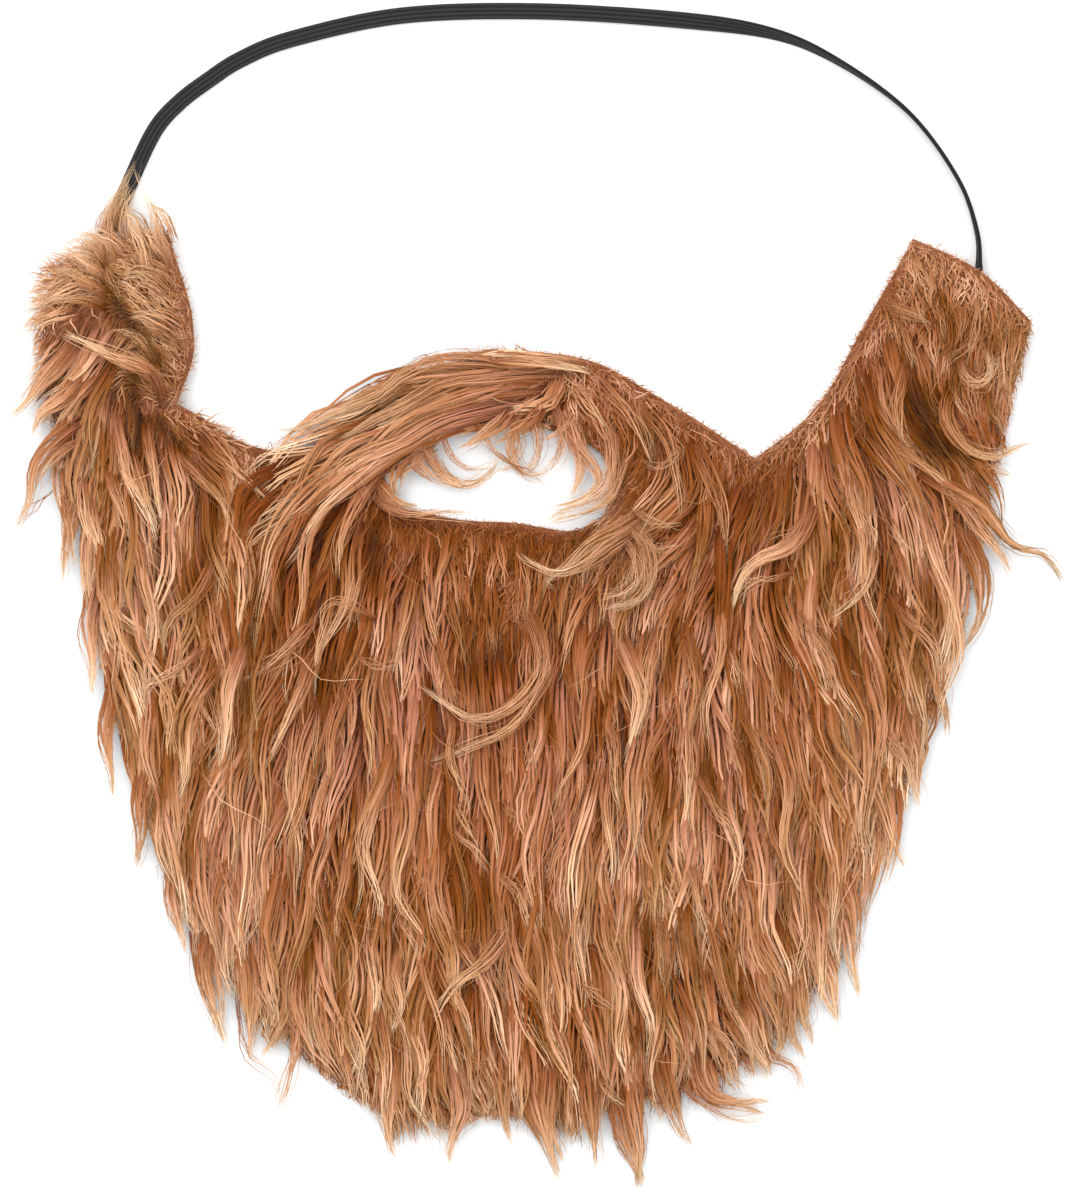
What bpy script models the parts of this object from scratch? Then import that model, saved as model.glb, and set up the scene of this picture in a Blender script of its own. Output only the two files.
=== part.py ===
"""Costume beard with an elastic head strap, lying flat on its back.

One die-cut piece of long-pile fur cloth: a knitted backing with a mouth hole and two sideburn tabs,
the pile on it as a dense mat with tapered wavy locks, and a flat braided elastic sewn behind both tabs.
Metres, +Z up. The backing lies on z = 0, +Y runs from the chin up to the tabs, and the origin is on the
underside of the backing, below the mouth hole.
"""
import math
import random

import bmesh
import bpy
from mathutils import Vector
from mathutils.bvhtree import BVHTree
from mathutils.geometry import delaunay_2d_cdt

# Fur cloth, flat
BEARD_WIDTH = 0.350        # across both sideburn tabs
BEARD_LENGTH = 0.336       # from the tab tips down to the longest chin locks
TAB_TOP = 0.140            # tab tips above the origin
MOUTH_WIDTH = 0.081
MOUTH_HEIGHT = 0.034
MOUTH_DROP = 0.0826        # tab tips down to the middle of the mouth hole
BACKING_THICKNESS = 0.0015
TAB_BULGE = 0.009          # how far the folded left tab stands off the table
CLOTH_PITCH = 0.017        # spacing of the points that carry the folds

# Pile
PILE_DEPTH = 0.0050        # dense underfur, away from the cut edge
PILE_EDGE_DEPTH = 0.0018   # underfur at the cut edge
PILE_RAMP = 0.012          # distance from the edge over which it rises
LOCK_LENGTH = 0.078
LOCK_WIDTH = 0.0165
LOCK_DEPTH = 0.0080
LOCK_SEAT = 0.0009         # how deep a lock sits in the underfur
LOCK_OVERHANG = 0.009      # how far a combed lock may pass the cut edge
LOCK_ROW_PITCH = 0.044     # down the beard, from row to row
LOCK_PITCH = 0.0220        # across, from lock to lock
LOCK_STATIONS = 6
WAVE_LENGTH = 0.046
WAVE_REACH = 0.0026
DROP_REACH = 0.026         # past the edge, hair comes down to the table over this distance

# Elastic strap
STRAP_WIDTH = 0.0060
STRAP_THICKNESS = 0.0013
STRAP_RISE = 0.080         # top of the arch above the tab tips
BRAIDS = 4                 # cords side by side in the elastic
GROOVE_DEPTH = 0.00022
STRAP_STATIONS = 42

GAP = 0.0003               # between pieces that touch
TIP_GAP = 0.0004           # under hair that reaches the table

# Cut edge of the cloth. across: share of BEARD_WIDTH from the middle line, down: share of BEARD_LENGTH
# from the tab tips, corner: True where the cut turns sharply.
OUTLINE = (
    ("right_tab_inner", 0.387, 0.000, True),
    ("right_tab_middle", 0.452, 0.034, False),
    ("right_tab_outer", 0.505, 0.086, True),
    ("right_cheek", 0.467, 0.240, False),
    ("right_jaw", 0.423, 0.427, False),
    ("right_lower", 0.345, 0.646, False),
    ("right_chin", 0.257, 0.816, False),
    ("chin_right", 0.112, 0.896, False),
    ("chin_middle", -0.015, 0.910, False),
    ("chin_left", -0.135, 0.908, False),
    ("left_chin", -0.207, 0.858, False),
    ("left_lower", -0.320, 0.724, False),
    ("left_jaw", -0.388, 0.552, False),
    ("left_cheek", -0.445, 0.292, False),
    ("left_tab_side", -0.481, 0.115, False),
    ("left_tab_outer", -0.471, 0.030, True),
    ("left_tab_middle", -0.413, 0.002, False),
    ("left_tab_inner", -0.355, -0.005, True),
    ("left_tab_edge", -0.330, 0.110, False),
    ("left_crease", -0.347, 0.171, True),
    ("left_valley", -0.242, 0.220, False),
    ("left_lip_slope", -0.140, 0.167, False),
    ("lip_left", -0.055, 0.128, False),
    ("lip_top", 0.050, 0.122, False),
    ("right_lip_slope", 0.135, 0.165, False),
    ("right_valley", 0.230, 0.228, True),
    ("right_tab_foot", 0.287, 0.179, False),
    ("right_tab_edge", 0.341, 0.085, False),
)

# Mouth hole about its own middle. across: share of MOUTH_WIDTH, up: share of MOUTH_HEIGHT.
MOUTH_ACROSS = -0.028      # share of BEARD_WIDTH
MOUTH = (
    ("left_corner", -0.50, -0.16, False),
    ("lower_left", -0.29, -0.39, False),
    ("lower_middle", 0.06, -0.48, False),
    ("lower_right", 0.44, -0.46, False),
    ("right_side", 0.49, 0.08, False),
    ("upper_right", 0.31, 0.41, False),
    ("upper_middle", 0.00, 0.50, False),
    ("upper_left", -0.29, 0.32, False),
)

# Where the cloth stands off the table. Place as in OUTLINE, reach_across and reach_down in the same
# shares, rise: share of TAB_BULGE.
FOLDS = (
    ("left_roll", -0.367, 0.089, 0.028, 0.075, 1.00),
    ("left_dome", -0.445, 0.064, 0.042, 0.046, 0.80),
    ("left_pucker", -0.322, 0.196, 0.024, 0.022, 0.40),
    ("right_strap_end", 0.450, 0.034, 0.062, 0.060, 0.86),
)

# Which way the pile is combed. heading: degrees from straight down, towards +X; length: share of
# LOCK_LENGTH.
STREAMS = (
    ("tab_left_roll", -0.365, 0.060, -125, 0.50),
    ("tab_left_roll_low", -0.360, 0.135, -140, 0.40),
    ("tab_left_top", -0.415, 0.023, -110, 0.55),
    ("tab_left_side", -0.460, 0.060, -75, 0.65),
    ("tab_left_low_side", -0.465, 0.115, -38, 0.85),
    ("tab_left_middle", -0.425, 0.105, -20, 0.90),
    ("tab_left_foot", -0.395, 0.200, -4, 1.00),
    ("crease_cheek", -0.310, 0.200, 40, 0.85),
    ("cheek_left", -0.415, 0.330, 5, 1.00),
    ("cheek_left_inner", -0.310, 0.340, 4, 1.00),
    ("side_left", -0.400, 0.500, 8, 0.95),
    ("flank_left", -0.260, 0.500, -14, 1.00),
    ("chin_left", -0.285, 0.710, 0, 0.90),
    ("valley_left", -0.235, 0.260, -45, 1.00),
    ("lip_left", -0.135, 0.170, -64, 1.05),
    ("lip_middle", -0.025, 0.150, -82, 1.10),
    ("lip_right", 0.085, 0.150, 22, 0.60),
    ("lip_right_low", 0.165, 0.220, 14, 0.85),
    ("mouth_right", 0.125, 0.270, -50, 0.80),
    ("lower_lip", -0.035, 0.330, -2, 0.65),
    ("lower_lip_left", -0.135, 0.330, -8, 0.75),
    ("middle", -0.065, 0.500, 2, 0.95),
    ("middle_right", 0.085, 0.510, -5, 1.00),
    ("flank_right", 0.265, 0.470, 14, 1.00),
    ("valley_right", 0.230, 0.270, -4, 0.90),
    ("tab_right_top", 0.400, 0.040, 14, 0.50),
    ("tab_right_side", 0.465, 0.110, -8, 0.65),
    ("tab_right_inner", 0.345, 0.135, 8, 0.90),
    ("tab_right_foot", 0.400, 0.220, 34, 1.00),
    ("cheek_right", 0.325, 0.290, 14, 1.05),
    ("side_right", 0.410, 0.375, 4, 0.90),
    ("side_right_low", 0.355, 0.580, 8, 0.90),
    ("chin_right", 0.215, 0.770, 12, 0.85),
    ("chin_middle", 0.035, 0.810, 6, 0.80),
    ("chin_left_low", -0.125, 0.820, 3, 0.80),
)

# Locks placed by eye, root to tip: the moustache, the curls and those that hang past the cut edge.
# bow: how far the middle stands to the side, as a share of the lock's length, positive to the left of
# its run; width: share of LOCK_WIDTH.
PLACED_LOCKS = (
    ("lip_left_top", 0.030, 0.145, -0.190, 0.230, -0.11, 0.80),
    ("lip_left_long", -0.020, 0.160, -0.270, 0.300, -0.11, 0.90),
    ("lip_left_middle", -0.075, 0.160, -0.240, 0.360, -0.10, 0.95),
    ("lip_left_low", -0.120, 0.185, -0.215, 0.350, -0.10, 0.90),
    ("lip_left_end", -0.165, 0.205, -0.300, 0.330, -0.10, 0.90),
    ("lip_left_corner", -0.150, 0.240, -0.190, 0.370, -0.06, 0.80),
    ("lip_right_top", 0.070, 0.140, 0.150, 0.235, 0.10, 0.80),
    ("lip_right_middle", 0.115, 0.165, 0.150, 0.290, 0.08, 0.85),
    ("lip_right_low", 0.165, 0.205, 0.200, 0.330, 0.06, 0.85),
    ("mouth_curl_top", 0.120, 0.280, 0.015, 0.345, 0.18, 0.60),
    ("mouth_curl_low", 0.135, 0.300, 0.080, 0.395, 0.20, 0.60),
    ("chin_scroll", 0.025, 0.345, -0.140, 0.465, 0.38, 0.60),
    ("tab_roll_top", -0.350, 0.040, -0.405, 0.012, -0.10, 0.55),
    ("tab_roll_middle", -0.345, 0.085, -0.400, 0.050, -0.10, 0.60),
    ("tab_roll_low", -0.345, 0.130, -0.385, 0.085, -0.10, 0.60),
    ("tab_dome_top", -0.415, 0.050, -0.470, 0.022, 0.10, 0.60),
    ("tab_dome_side", -0.415, 0.070, -0.487, 0.070, 0.10, 0.65),
    ("tab_dome_low", -0.420, 0.085, -0.497, 0.120, 0.10, 0.70),
    ("tab_left_flick", -0.437, 0.104, -0.519, 0.185, 0.15, 0.80),
    ("tab_left_flick_low", -0.425, 0.151, -0.494, 0.219, 0.15, 0.80),
    ("tab_left_hook", -0.415, 0.198, -0.499, 0.279, 0.12, 0.85),
    ("cheek_left_edge", -0.433, 0.240, -0.459, 0.359, 0.10, 0.90),
    ("cheek_left_low", -0.425, 0.333, -0.427, 0.479, 0.06, 0.90),
    ("jaw_left", -0.407, 0.443, -0.409, 0.583, 0.06, 0.90),
    ("jaw_left_low", -0.375, 0.531, -0.375, 0.656, 0.05, 0.85),
    ("side_left", -0.350, 0.635, -0.339, 0.740, 0.05, 0.80),
    ("chin_left_outer", -0.313, 0.693, -0.297, 0.842, 0.05, 0.90),
    ("chin_left_hook", -0.275, 0.719, -0.278, 0.856, 0.12, 0.85),
    ("chin_left_wisp", -0.225, 0.776, -0.245, 0.915, -0.12, 0.70),
    ("chin_tip_a", -0.125, 0.823, -0.127, 0.958, 0.10, 1.00),
    ("chin_tip_b", -0.075, 0.833, -0.073, 0.965, -0.10, 1.00),
    ("chin_tip_c", -0.020, 0.823, -0.015, 0.944, 0.08, 0.90),
    ("chin_tip_d", 0.023, 0.833, 0.035, 0.962, 0.06, 0.95),
    ("chin_tip_e", 0.060, 0.839, 0.069, 0.971, -0.06, 0.95),
    ("chin_tip_f", 0.097, 0.839, 0.113, 0.990, -0.08, 0.95),
    ("chin_tip_g", 0.130, 0.823, 0.175, 0.952, 0.10, 0.90),
    ("chin_right_curl", 0.170, 0.802, 0.243, 0.906, -0.25, 0.90),
    ("chin_right_tip", 0.220, 0.776, 0.243, 0.867, 0.06, 0.80),
    ("side_right_a", 0.250, 0.719, 0.278, 0.856, 0.05, 0.85),
    ("side_right_b", 0.280, 0.687, 0.313, 0.812, 0.05, 0.85),
    ("side_right_c", 0.310, 0.635, 0.333, 0.750, 0.05, 0.85),
    ("jaw_right_a", 0.335, 0.520, 0.380, 0.651, 0.06, 0.90),
    ("jaw_right_b", 0.370, 0.469, 0.397, 0.594, 0.06, 0.90),
    ("jaw_right_c", 0.400, 0.385, 0.428, 0.516, 0.10, 0.85),
    ("cheek_right_bulge", 0.420, 0.270, 0.433, 0.432, 0.16, 0.95),
    ("tab_right_low", 0.425, 0.250, 0.485, 0.349, 0.10, 0.80),
    ("tab_right_long", 0.405, 0.198, 0.533, 0.359, 0.05, 0.90),
    ("tab_right_flick", 0.405, 0.141, 0.511, 0.221, -0.30, 0.70),
)

# The strap's route. across: share of BEARD_WIDTH, up: share of STRAP_RISE above the tab tips, down:
# share of BEARD_LENGTH below them, roll: degrees, 90 is standing on its edge, sewn: 1 where it is
# held against the underside of the cloth.
STRAP = (
    ("left_end", -0.427, 0.000, 0.062, 0, 1),
    ("left_tab", -0.420, 0.000, 0.004, 0, 1),
    ("left_rise", -0.394, 0.260, 0.000, 0, 0),
    ("left_shoulder", -0.370, 0.480, 0.000, 0, 0),
    ("left_turn", -0.346, 0.600, 0.000, 0, 0),
    ("left_bend", -0.318, 0.694, 0.000, 0, 0),
    ("left_rising", -0.284, 0.790, 0.000, 0, 0),
    ("left_arch", -0.232, 0.880, 0.000, 0, 0),
    ("left_crown", -0.125, 0.980, 0.000, 0, 0),
    ("crown", 0.005, 1.000, 0.000, 0, 0),
    ("right_crown", 0.143, 0.965, 0.000, 18, 0),
    ("right_turn", 0.246, 0.900, 0.000, 62, 0),
    ("right_arch", 0.315, 0.770, 0.000, 78, 0),
    ("right_bend", 0.384, 0.550, 0.000, 88, 0),
    ("right_shoulder", 0.432, 0.266, 0.000, 88, 0),
    ("right_fall", 0.451, 0.035, 0.000, 84, 0),
    ("right_tab", 0.453, 0.000, 0.030, 76, 0),
    ("right_twist", 0.451, 0.000, 0.066, 30, 1),
    ("right_end", 0.447, 0.000, 0.108, 0, 1),
)


def clear_scene():
    for old in list(bpy.data.objects):
        bpy.data.objects.remove(old, do_unlink=True)


def new_collection(name):
    collection = bpy.data.collections.new(name)
    bpy.context.scene.collection.children.link(collection)
    return collection


def plain_material(name, colour, roughness):
    material = bpy.data.materials.new(name)
    material.use_nodes = True
    shader = material.node_tree.nodes["Principled BSDF"]
    shader.inputs["Base Color"].default_value = (*colour, 1.0)
    shader.inputs["Roughness"].default_value = roughness
    shader.inputs["Metallic"].default_value = 0.0
    return material


def spot(across, down):
    """A place on the table from its shares of the beard's width and length."""
    return Vector((across * BEARD_WIDTH, TAB_TOP - down * BEARD_LENGTH))


def smooth_step(share):
    share = min(max(share, 0.0), 1.0)
    return share * share * (3.0 - 2.0 * share)


def smooth_loop(rows, steps):
    """Points of the closed Bezier curve through rows of (point, corner)."""
    curve = bpy.data.curves.new("outline_guide", "CURVE")
    curve.dimensions = "2D"
    curve.fill_mode = "NONE"
    curve.resolution_u = steps
    spline = curve.splines.new("BEZIER")
    spline.bezier_points.add(len(rows) - 1)
    spline.use_cyclic_u = True
    for knot, (point, corner) in zip(spline.bezier_points, rows):
        knot.co = (point.x, point.y, 0.0)
        knot.handle_left_type = knot.handle_right_type = "VECTOR" if corner else "AUTO"
    guide = bpy.data.objects.new("outline_guide", curve)
    bpy.context.scene.collection.objects.link(guide)
    bpy.context.view_layer.update()
    mesh = bpy.data.meshes.new_from_object(guide.evaluated_get(bpy.context.evaluated_depsgraph_get()))
    points = [Vector(vertex.co.xy) for vertex in mesh.vertices]
    bpy.data.objects.remove(guide, do_unlink=True)
    bpy.data.meshes.remove(mesh)
    return points


def cloth_loop():
    return smooth_loop([(spot(across, down), corner) for _, across, down, corner in OUTLINE], 4)


def mouth_loop():
    middle = Vector((MOUTH_ACROSS * BEARD_WIDTH, TAB_TOP - MOUTH_DROP))
    size = Vector((MOUTH_WIDTH, MOUTH_HEIGHT))
    rows = [(middle + Vector((across, up)) * size, corner) for _, across, up, corner in MOUTH]
    return smooth_loop(rows, 3)


def edge_distance(point, loop):
    """Shortest way from a point to a closed loop of points."""
    nearest = math.inf
    for start, end in zip(loop, loop[1:] + loop[:1]):
        side = end - start
        share = min(max((point - start).dot(side) / side.length_squared, 0.0), 1.0)
        nearest = min(nearest, (start + side * share - point).length)
    return nearest


def encloses(loop, point):
    inside = False
    for start, end in zip(loop, loop[1:] + loop[:1]):
        if (start.y > point.y) != (end.y > point.y):
            crossing = start.x + (point.y - start.y) * (end.x - start.x) / (end.y - start.y)
            inside = inside != (point.x < crossing)
    return inside


def depth_inside(point):
    """Distance from the cut edge, positive on the cloth and negative off it."""
    distance = min(edge_distance(point, CLOTH), edge_distance(point, MOUTH_HOLE))
    on_cloth = encloses(CLOTH, point) and not encloses(MOUTH_HOLE, point)
    return distance if on_cloth else -distance


def cloth_lift(point):
    """Height of the cloth's underside above the table."""
    lift = 0.0
    for _, across, down, reach_across, reach_down, rise in FOLDS:
        offset = point - spot(across, down)
        right = offset.x / (reach_across * BEARD_WIDTH)
        ahead = offset.y / (reach_down * BEARD_LENGTH)
        lift += rise * TAB_BULGE * math.exp(-(right ** 2 + ahead ** 2) / 2)
    return lift if lift > GAP else 0.0


def pile_depth(depth):
    return PILE_EDGE_DEPTH + (PILE_DEPTH - PILE_EDGE_DEPTH) * smooth_step(depth / PILE_RAMP)


def cloth_points():
    """Points inside the cut edge, in staggered rows, that carry its folds."""
    points = []
    edge_margin = CLOTH_PITCH * 0.45
    rows = round(BEARD_LENGTH / CLOTH_PITCH)
    columns = round(BEARD_WIDTH / CLOTH_PITCH)
    for row in range(rows + 1):
        for column in range(-columns, columns + 1):
            stagger = 0.5 * (row % 2)
            across = (column / 2 + stagger / 2) * CLOTH_PITCH * 2 / math.sqrt(3)
            point = Vector((across, TAB_TOP - row * CLOTH_PITCH))
            if column % 2 == 0 and depth_inside(point) > edge_margin:
                points.append(point)
    return points


def cloth_slab(name, bottom, thickness):
    """The cut cloth as a slab: bottom and thickness give its height and depth at a point."""
    loops = [CLOTH, MOUTH_HOLE]
    points = [point for loop in loops for point in loop]
    edges, first = [], 0
    for loop in loops:
        edges += [(first + index, first + (index + 1) % len(loop)) for index in range(len(loop))]
        first += len(loop)
    points += cloth_points()
    inside_edges = 1
    corners, _, faces, _, _, _ = delaunay_2d_cdt(points, edges, [], inside_edges, 1e-7)
    shape = bmesh.new()
    low = [shape.verts.new((point.x, point.y, bottom(point))) for point in corners]
    for face in faces:
        middle = sum((corners[index] for index in face), Vector((0.0, 0.0))) / len(face)
        if depth_inside(middle) > 0:
            shape.faces.new([low[index] for index in face])
    bmesh.ops.recalc_face_normals(shape, faces=shape.faces)
    raised = bmesh.ops.extrude_face_region(shape, geom=shape.faces[:])
    for vertex in (item for item in raised["geom"] if isinstance(item, bmesh.types.BMVert)):
        vertex.co.z += thickness(vertex.co.xy)
    bmesh.ops.recalc_face_normals(shape, faces=shape.faces)
    mesh = bpy.data.meshes.new(name)
    shape.to_mesh(mesh)
    shape.free()
    return bpy.data.objects.new(name, mesh)


def comb(point):
    """Heading and length share of the pile at a point, from the streams around it."""
    total = length = 0.0
    way = Vector((0.0, 0.0))
    for _, across, down, heading, share in STREAMS:
        near = (point - spot(across, down)).length / BEARD_WIDTH
        weight = 1.0 / (near ** 4 + 1e-7)
        angle = math.radians(heading)
        way += weight * Vector((math.sin(angle), -math.cos(angle)))
        length += weight * share
        total += weight
    return way.normalized(), length / total


def combed_path(root, length, stations):
    """Points that follow the pile from a root."""
    step = length / (stations - 1)
    points = [root.copy()]
    for _ in range(stations - 1):
        way, _ = comb(points[-1])
        points.append(points[-1] + way * step)
    return points


def bowed_path(root, tip, bow, stations):
    """Points on the arc from root to tip, its middle set off to the left by bow."""
    run = tip - root
    crown = (root + tip) / 2 + Vector((-run.y, run.x)) * 2 * bow
    points = []
    for index in range(stations):
        share = index / (stations - 1)
        points.append(root * (1 - share) ** 2 + crown * 2 * share * (1 - share) + tip * share ** 2)
    return points


def waved(points, reach, phase):
    """The same points with a wave that grows towards the tip."""
    result, travelled = [], 0.0
    for index, point in enumerate(points):
        before, after = points[max(index - 1, 0)], points[min(index + 1, len(points) - 1)]
        way = (after - before).normalized()
        travelled += (point - before).length
        share = index / (len(points) - 1)
        swing = reach * smooth_step(share * 1.5) * math.sin(phase + 2 * math.pi * travelled / WAVE_LENGTH)
        result.append(point + Vector((-way.y, way.x)) * swing)
    return result


def hair_floor(point):
    """Lowest height that hair keeps: in the underfur on the cloth, coming down to the table off it."""
    depth = depth_inside(point)
    seat = cloth_lift(point) + BACKING_THICKNESS + GAP + pile_depth(depth) - LOCK_SEAT
    return seat + (TIP_GAP - seat) * smooth_step(-depth / DROP_REACH)


def lock_fullness(share):
    """Width of a lock along its run, as a share of its full width."""
    rising = 0.35 + 0.65 * smooth_step(share / 0.35)
    return rising * (1.0 - smooth_step((share - 0.25) / 0.75) ** 1.2) + 0.03


LOCK_SECTION = ((-0.50, -0.30), (-0.20, 0.48), (0.22, 0.40), (0.50, -0.30))
LOCK_SECTION_BASE = 0.30


def section_curve(name, corners):
    """A closed flat profile that a curve is swept with."""
    curve = bpy.data.curves.new(name, "CURVE")
    curve.dimensions = "2D"
    spline = curve.splines.new("POLY")
    spline.points.add(len(corners) - 1)
    spline.use_cyclic_u = True
    for knot, (x, y) in zip(spline.points, corners):
        knot.co = (x, y, 0.0, 1.0)
    return bpy.data.objects.new(name, curve)


def swept_curve(name, section, stations):
    """A curve along stations of (place, scale, roll) with a flat section on it."""
    curve = bpy.data.curves.new(name, "CURVE")
    curve.dimensions = "3D"
    curve.twist_mode = "Z_UP"
    curve.bevel_mode = "OBJECT"
    curve.bevel_object = section
    curve.use_fill_caps = True
    spline = curve.splines.new("POLY")
    spline.points.add(len(stations) - 1)
    for knot, (place, scale, roll) in zip(spline.points, stations):
        knot.co = (*place, 1.0)
        knot.radius = scale
        knot.tilt = roll
    return bpy.data.objects.new(name, curve)


def lock_stations(points, width):
    """Places and scales of a lock along its flat path."""
    stations = []
    for index, point in enumerate(points):
        before, after = points[max(index - 1, 0)], points[min(index + 1, len(points) - 1)]
        way = (after - before).normalized()
        scale = lock_fullness(index / (len(points) - 1)) * width
        side = Vector((-way.y, way.x)) * LOCK_WIDTH * scale / 2
        seat = max(hair_floor(point), hair_floor(point + side), hair_floor(point - side))
        height = seat + LOCK_SECTION_BASE * LOCK_DEPTH * scale
        stations.append((Vector((point.x, point.y, height)), scale, 0.0))
    return stations


def trimmed_length(root, length):
    """Length of a combed lock up to where it would reach over the mouth hole or too far off the cloth."""
    checks = 24
    mouth_margin = LOCK_WIDTH * 0.25
    for index, point in enumerate(combed_path(root, length, checks)):
        over_mouth = encloses(MOUTH_HOLE, point) or edge_distance(point, MOUTH_HOLE) < mouth_margin
        if over_mouth or depth_inside(point) < -LOCK_OVERHANG:
            return length * (index - 1) / (checks - 1)
    return length


def body_lock_paths():
    """Paths and widths of the locks that lie on the cloth, in staggered rows."""
    chance = random.Random(7)
    first_row, stray_across, stray_down = 0.3, 0.2, 0.22
    edge_margin, shortest = LOCK_WIDTH * 0.35, LOCK_WIDTH * 1.5
    paths = []
    rows = math.ceil(BEARD_LENGTH / LOCK_ROW_PITCH)
    columns = math.ceil(BEARD_WIDTH / 2 / LOCK_PITCH)
    for row in range(rows):
        for column in range(-columns, columns + 1):
            across = (column + 0.5 * (row % 2) + chance.uniform(-stray_across, stray_across)) * LOCK_PITCH
            down = (row + first_row + chance.uniform(-stray_down, stray_down)) * LOCK_ROW_PITCH
            root = Vector((across, TAB_TOP - down))
            phase, width = chance.uniform(0, 2 * math.pi), chance.uniform(0.8, 1.1)
            if depth_inside(root) < edge_margin:
                continue
            _, share = comb(root)
            length = trimmed_length(root, LOCK_LENGTH * share)
            if length > shortest:
                path = waved(combed_path(root, length, LOCK_STATIONS), WAVE_REACH * share, phase)
                paths.append((path, width * math.sqrt(length / LOCK_LENGTH)))
    return paths


def placed_lock_paths():
    """Paths and widths of the locks placed by eye."""
    paths = []
    wave_reach, phase_step = WAVE_REACH * 0.6, 2.4
    for index, (_, across, down, tip_across, tip_down, bow, width) in enumerate(PLACED_LOCKS):
        path = bowed_path(spot(across, down), spot(tip_across, tip_down), bow, LOCK_STATIONS + 1)
        paths.append((waved(path, wave_reach, index * phase_step), width))
    return paths


def closed_mesh(curve_object, collection):
    """The swept curve as a closed mesh object, in place of the curve."""
    mesh = bpy.data.meshes.new_from_object(curve_object.evaluated_get(bpy.context.evaluated_depsgraph_get()))
    shape = bmesh.new()
    shape.from_mesh(mesh)
    same_place = 1e-6
    bmesh.ops.remove_doubles(shape, verts=shape.verts, dist=same_place)
    bmesh.ops.recalc_face_normals(shape, faces=shape.faces)
    shape.to_mesh(mesh)
    shape.free()
    solid = bpy.data.objects.new(curve_object.name + "_solid", mesh)
    solid.matrix_world = curve_object.matrix_world
    collection.objects.link(solid)
    bpy.data.objects.remove(curve_object, do_unlink=True)
    return solid


def fill_pockets(mesh):
    """Drop the walls of sealed pockets between locks: all but the largest connected skin."""
    shape = bmesh.new()
    shape.from_mesh(mesh)
    bmesh.ops.triangulate(shape, faces=shape.faces)
    unseen, skins = set(shape.faces), []
    while unseen:
        reached = [unseen.pop()]
        skin = list(reached)
        while reached:
            for edge in reached.pop().edges:
                for face in edge.link_faces:
                    if face in unseen:
                        unseen.remove(face)
                        skin.append(face)
                        reached.append(face)
        skins.append(skin)
    skins.sort(key=len)
    for skin in skins[:-1]:
        bmesh.ops.delete(shape, geom=skin, context="FACES")
    shape.to_mesh(mesh)
    shape.free()


def hide_helper(helper):
    helper.hide_render = True
    helper.display_type = "WIRE"


def make_backing(collection):
    backing = cloth_slab("backing_cloth", cloth_lift, lambda point: BACKING_THICKNESS)
    backing.data.materials.append(plain_material("knitted_backing", (0.28, 0.11, 0.045), 0.9))
    collection.objects.link(backing)
    return backing


def make_fur(collection, helpers):
    fur = cloth_slab(
        "fur_pile",
        lambda point: cloth_lift(point) + BACKING_THICKNESS + GAP,
        lambda point: pile_depth(depth_inside(point)),
    )
    fur.data.materials.append(plain_material("ginger_fur", (0.44, 0.16, 0.055), 0.65))
    collection.objects.link(fur)
    lock_group = new_collection("fur_locks")
    section = section_curve("lock_section", [(x * LOCK_WIDTH, y * LOCK_DEPTH) for x, y in LOCK_SECTION])
    helpers.objects.link(section)
    hide_helper(section)
    curves = []
    for index, (path, width) in enumerate(body_lock_paths() + placed_lock_paths()):
        lock = swept_curve(f"lock_{index:03d}", section, lock_stations(path, width))
        lock_group.objects.link(lock)
        curves.append(lock)
    bpy.context.view_layer.update()
    for lock in curves:
        hide_helper(closed_mesh(lock, lock_group))
    union = fur.modifiers.new("locks", "BOOLEAN")
    union.operation = "UNION"
    union.operand_type = "COLLECTION"
    union.collection = lock_group
    union.solver = "EXACT"
    bpy.context.view_layer.update()
    fused = bpy.data.meshes.new_from_object(fur.evaluated_get(bpy.context.evaluated_depsgraph_get()))
    fill_pockets(fused)
    fur.modifiers.remove(union)
    fur.data = fused


def strap_section():
    """Half-width, half-depth corners round the ribbed elastic: a crown on each braid, a groove between."""
    half_width, crown = STRAP_WIDTH / 2, STRAP_THICKNESS / 2
    groove = crown - GROOVE_DEPTH
    braid = STRAP_WIDTH / BRAIDS
    upper = []
    for index in range(BRAIDS):
        upper.append((-half_width + (index + 0.5) * braid, crown))
        if index < BRAIDS - 1:
            upper.append((-half_width + (index + 1) * braid, groove))
    lower = [(x, -y) for x, y in reversed(upper)]
    return [(-half_width, 0.0)] + upper + [(half_width, 0.0)] + lower


def smooth_between(rows, share):
    """Catmull-Rom value at a share of the way through equally long rows of numbers."""
    place = share * (len(rows) - 1)
    index = min(int(place), len(rows) - 2)
    t = place - index
    before, start = rows[max(index - 1, 0)], rows[index]
    end, after = rows[index + 1], rows[min(index + 2, len(rows) - 1)]
    values = []
    for a, b, c, d in zip(before, start, end, after):
        values.append(b + 0.5 * t * (c - a + t * (2 * a - 5 * b + 4 * c - d + t * (3 * (b - c) + d - a))))
    return values


def room_below(cloth, places):
    """Lowest height of the cloth's underside over the places, or None where none is under the cloth."""
    hits = [cloth.ray_cast(Vector((place.x, place.y, -1.0)), Vector((0.0, 0.0, 1.0)))[0] for place in places]
    if not any(hits):
        return None
    return min(hit.z if hit else cloth_lift(place) for hit, place in zip(hits, places))


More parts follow.
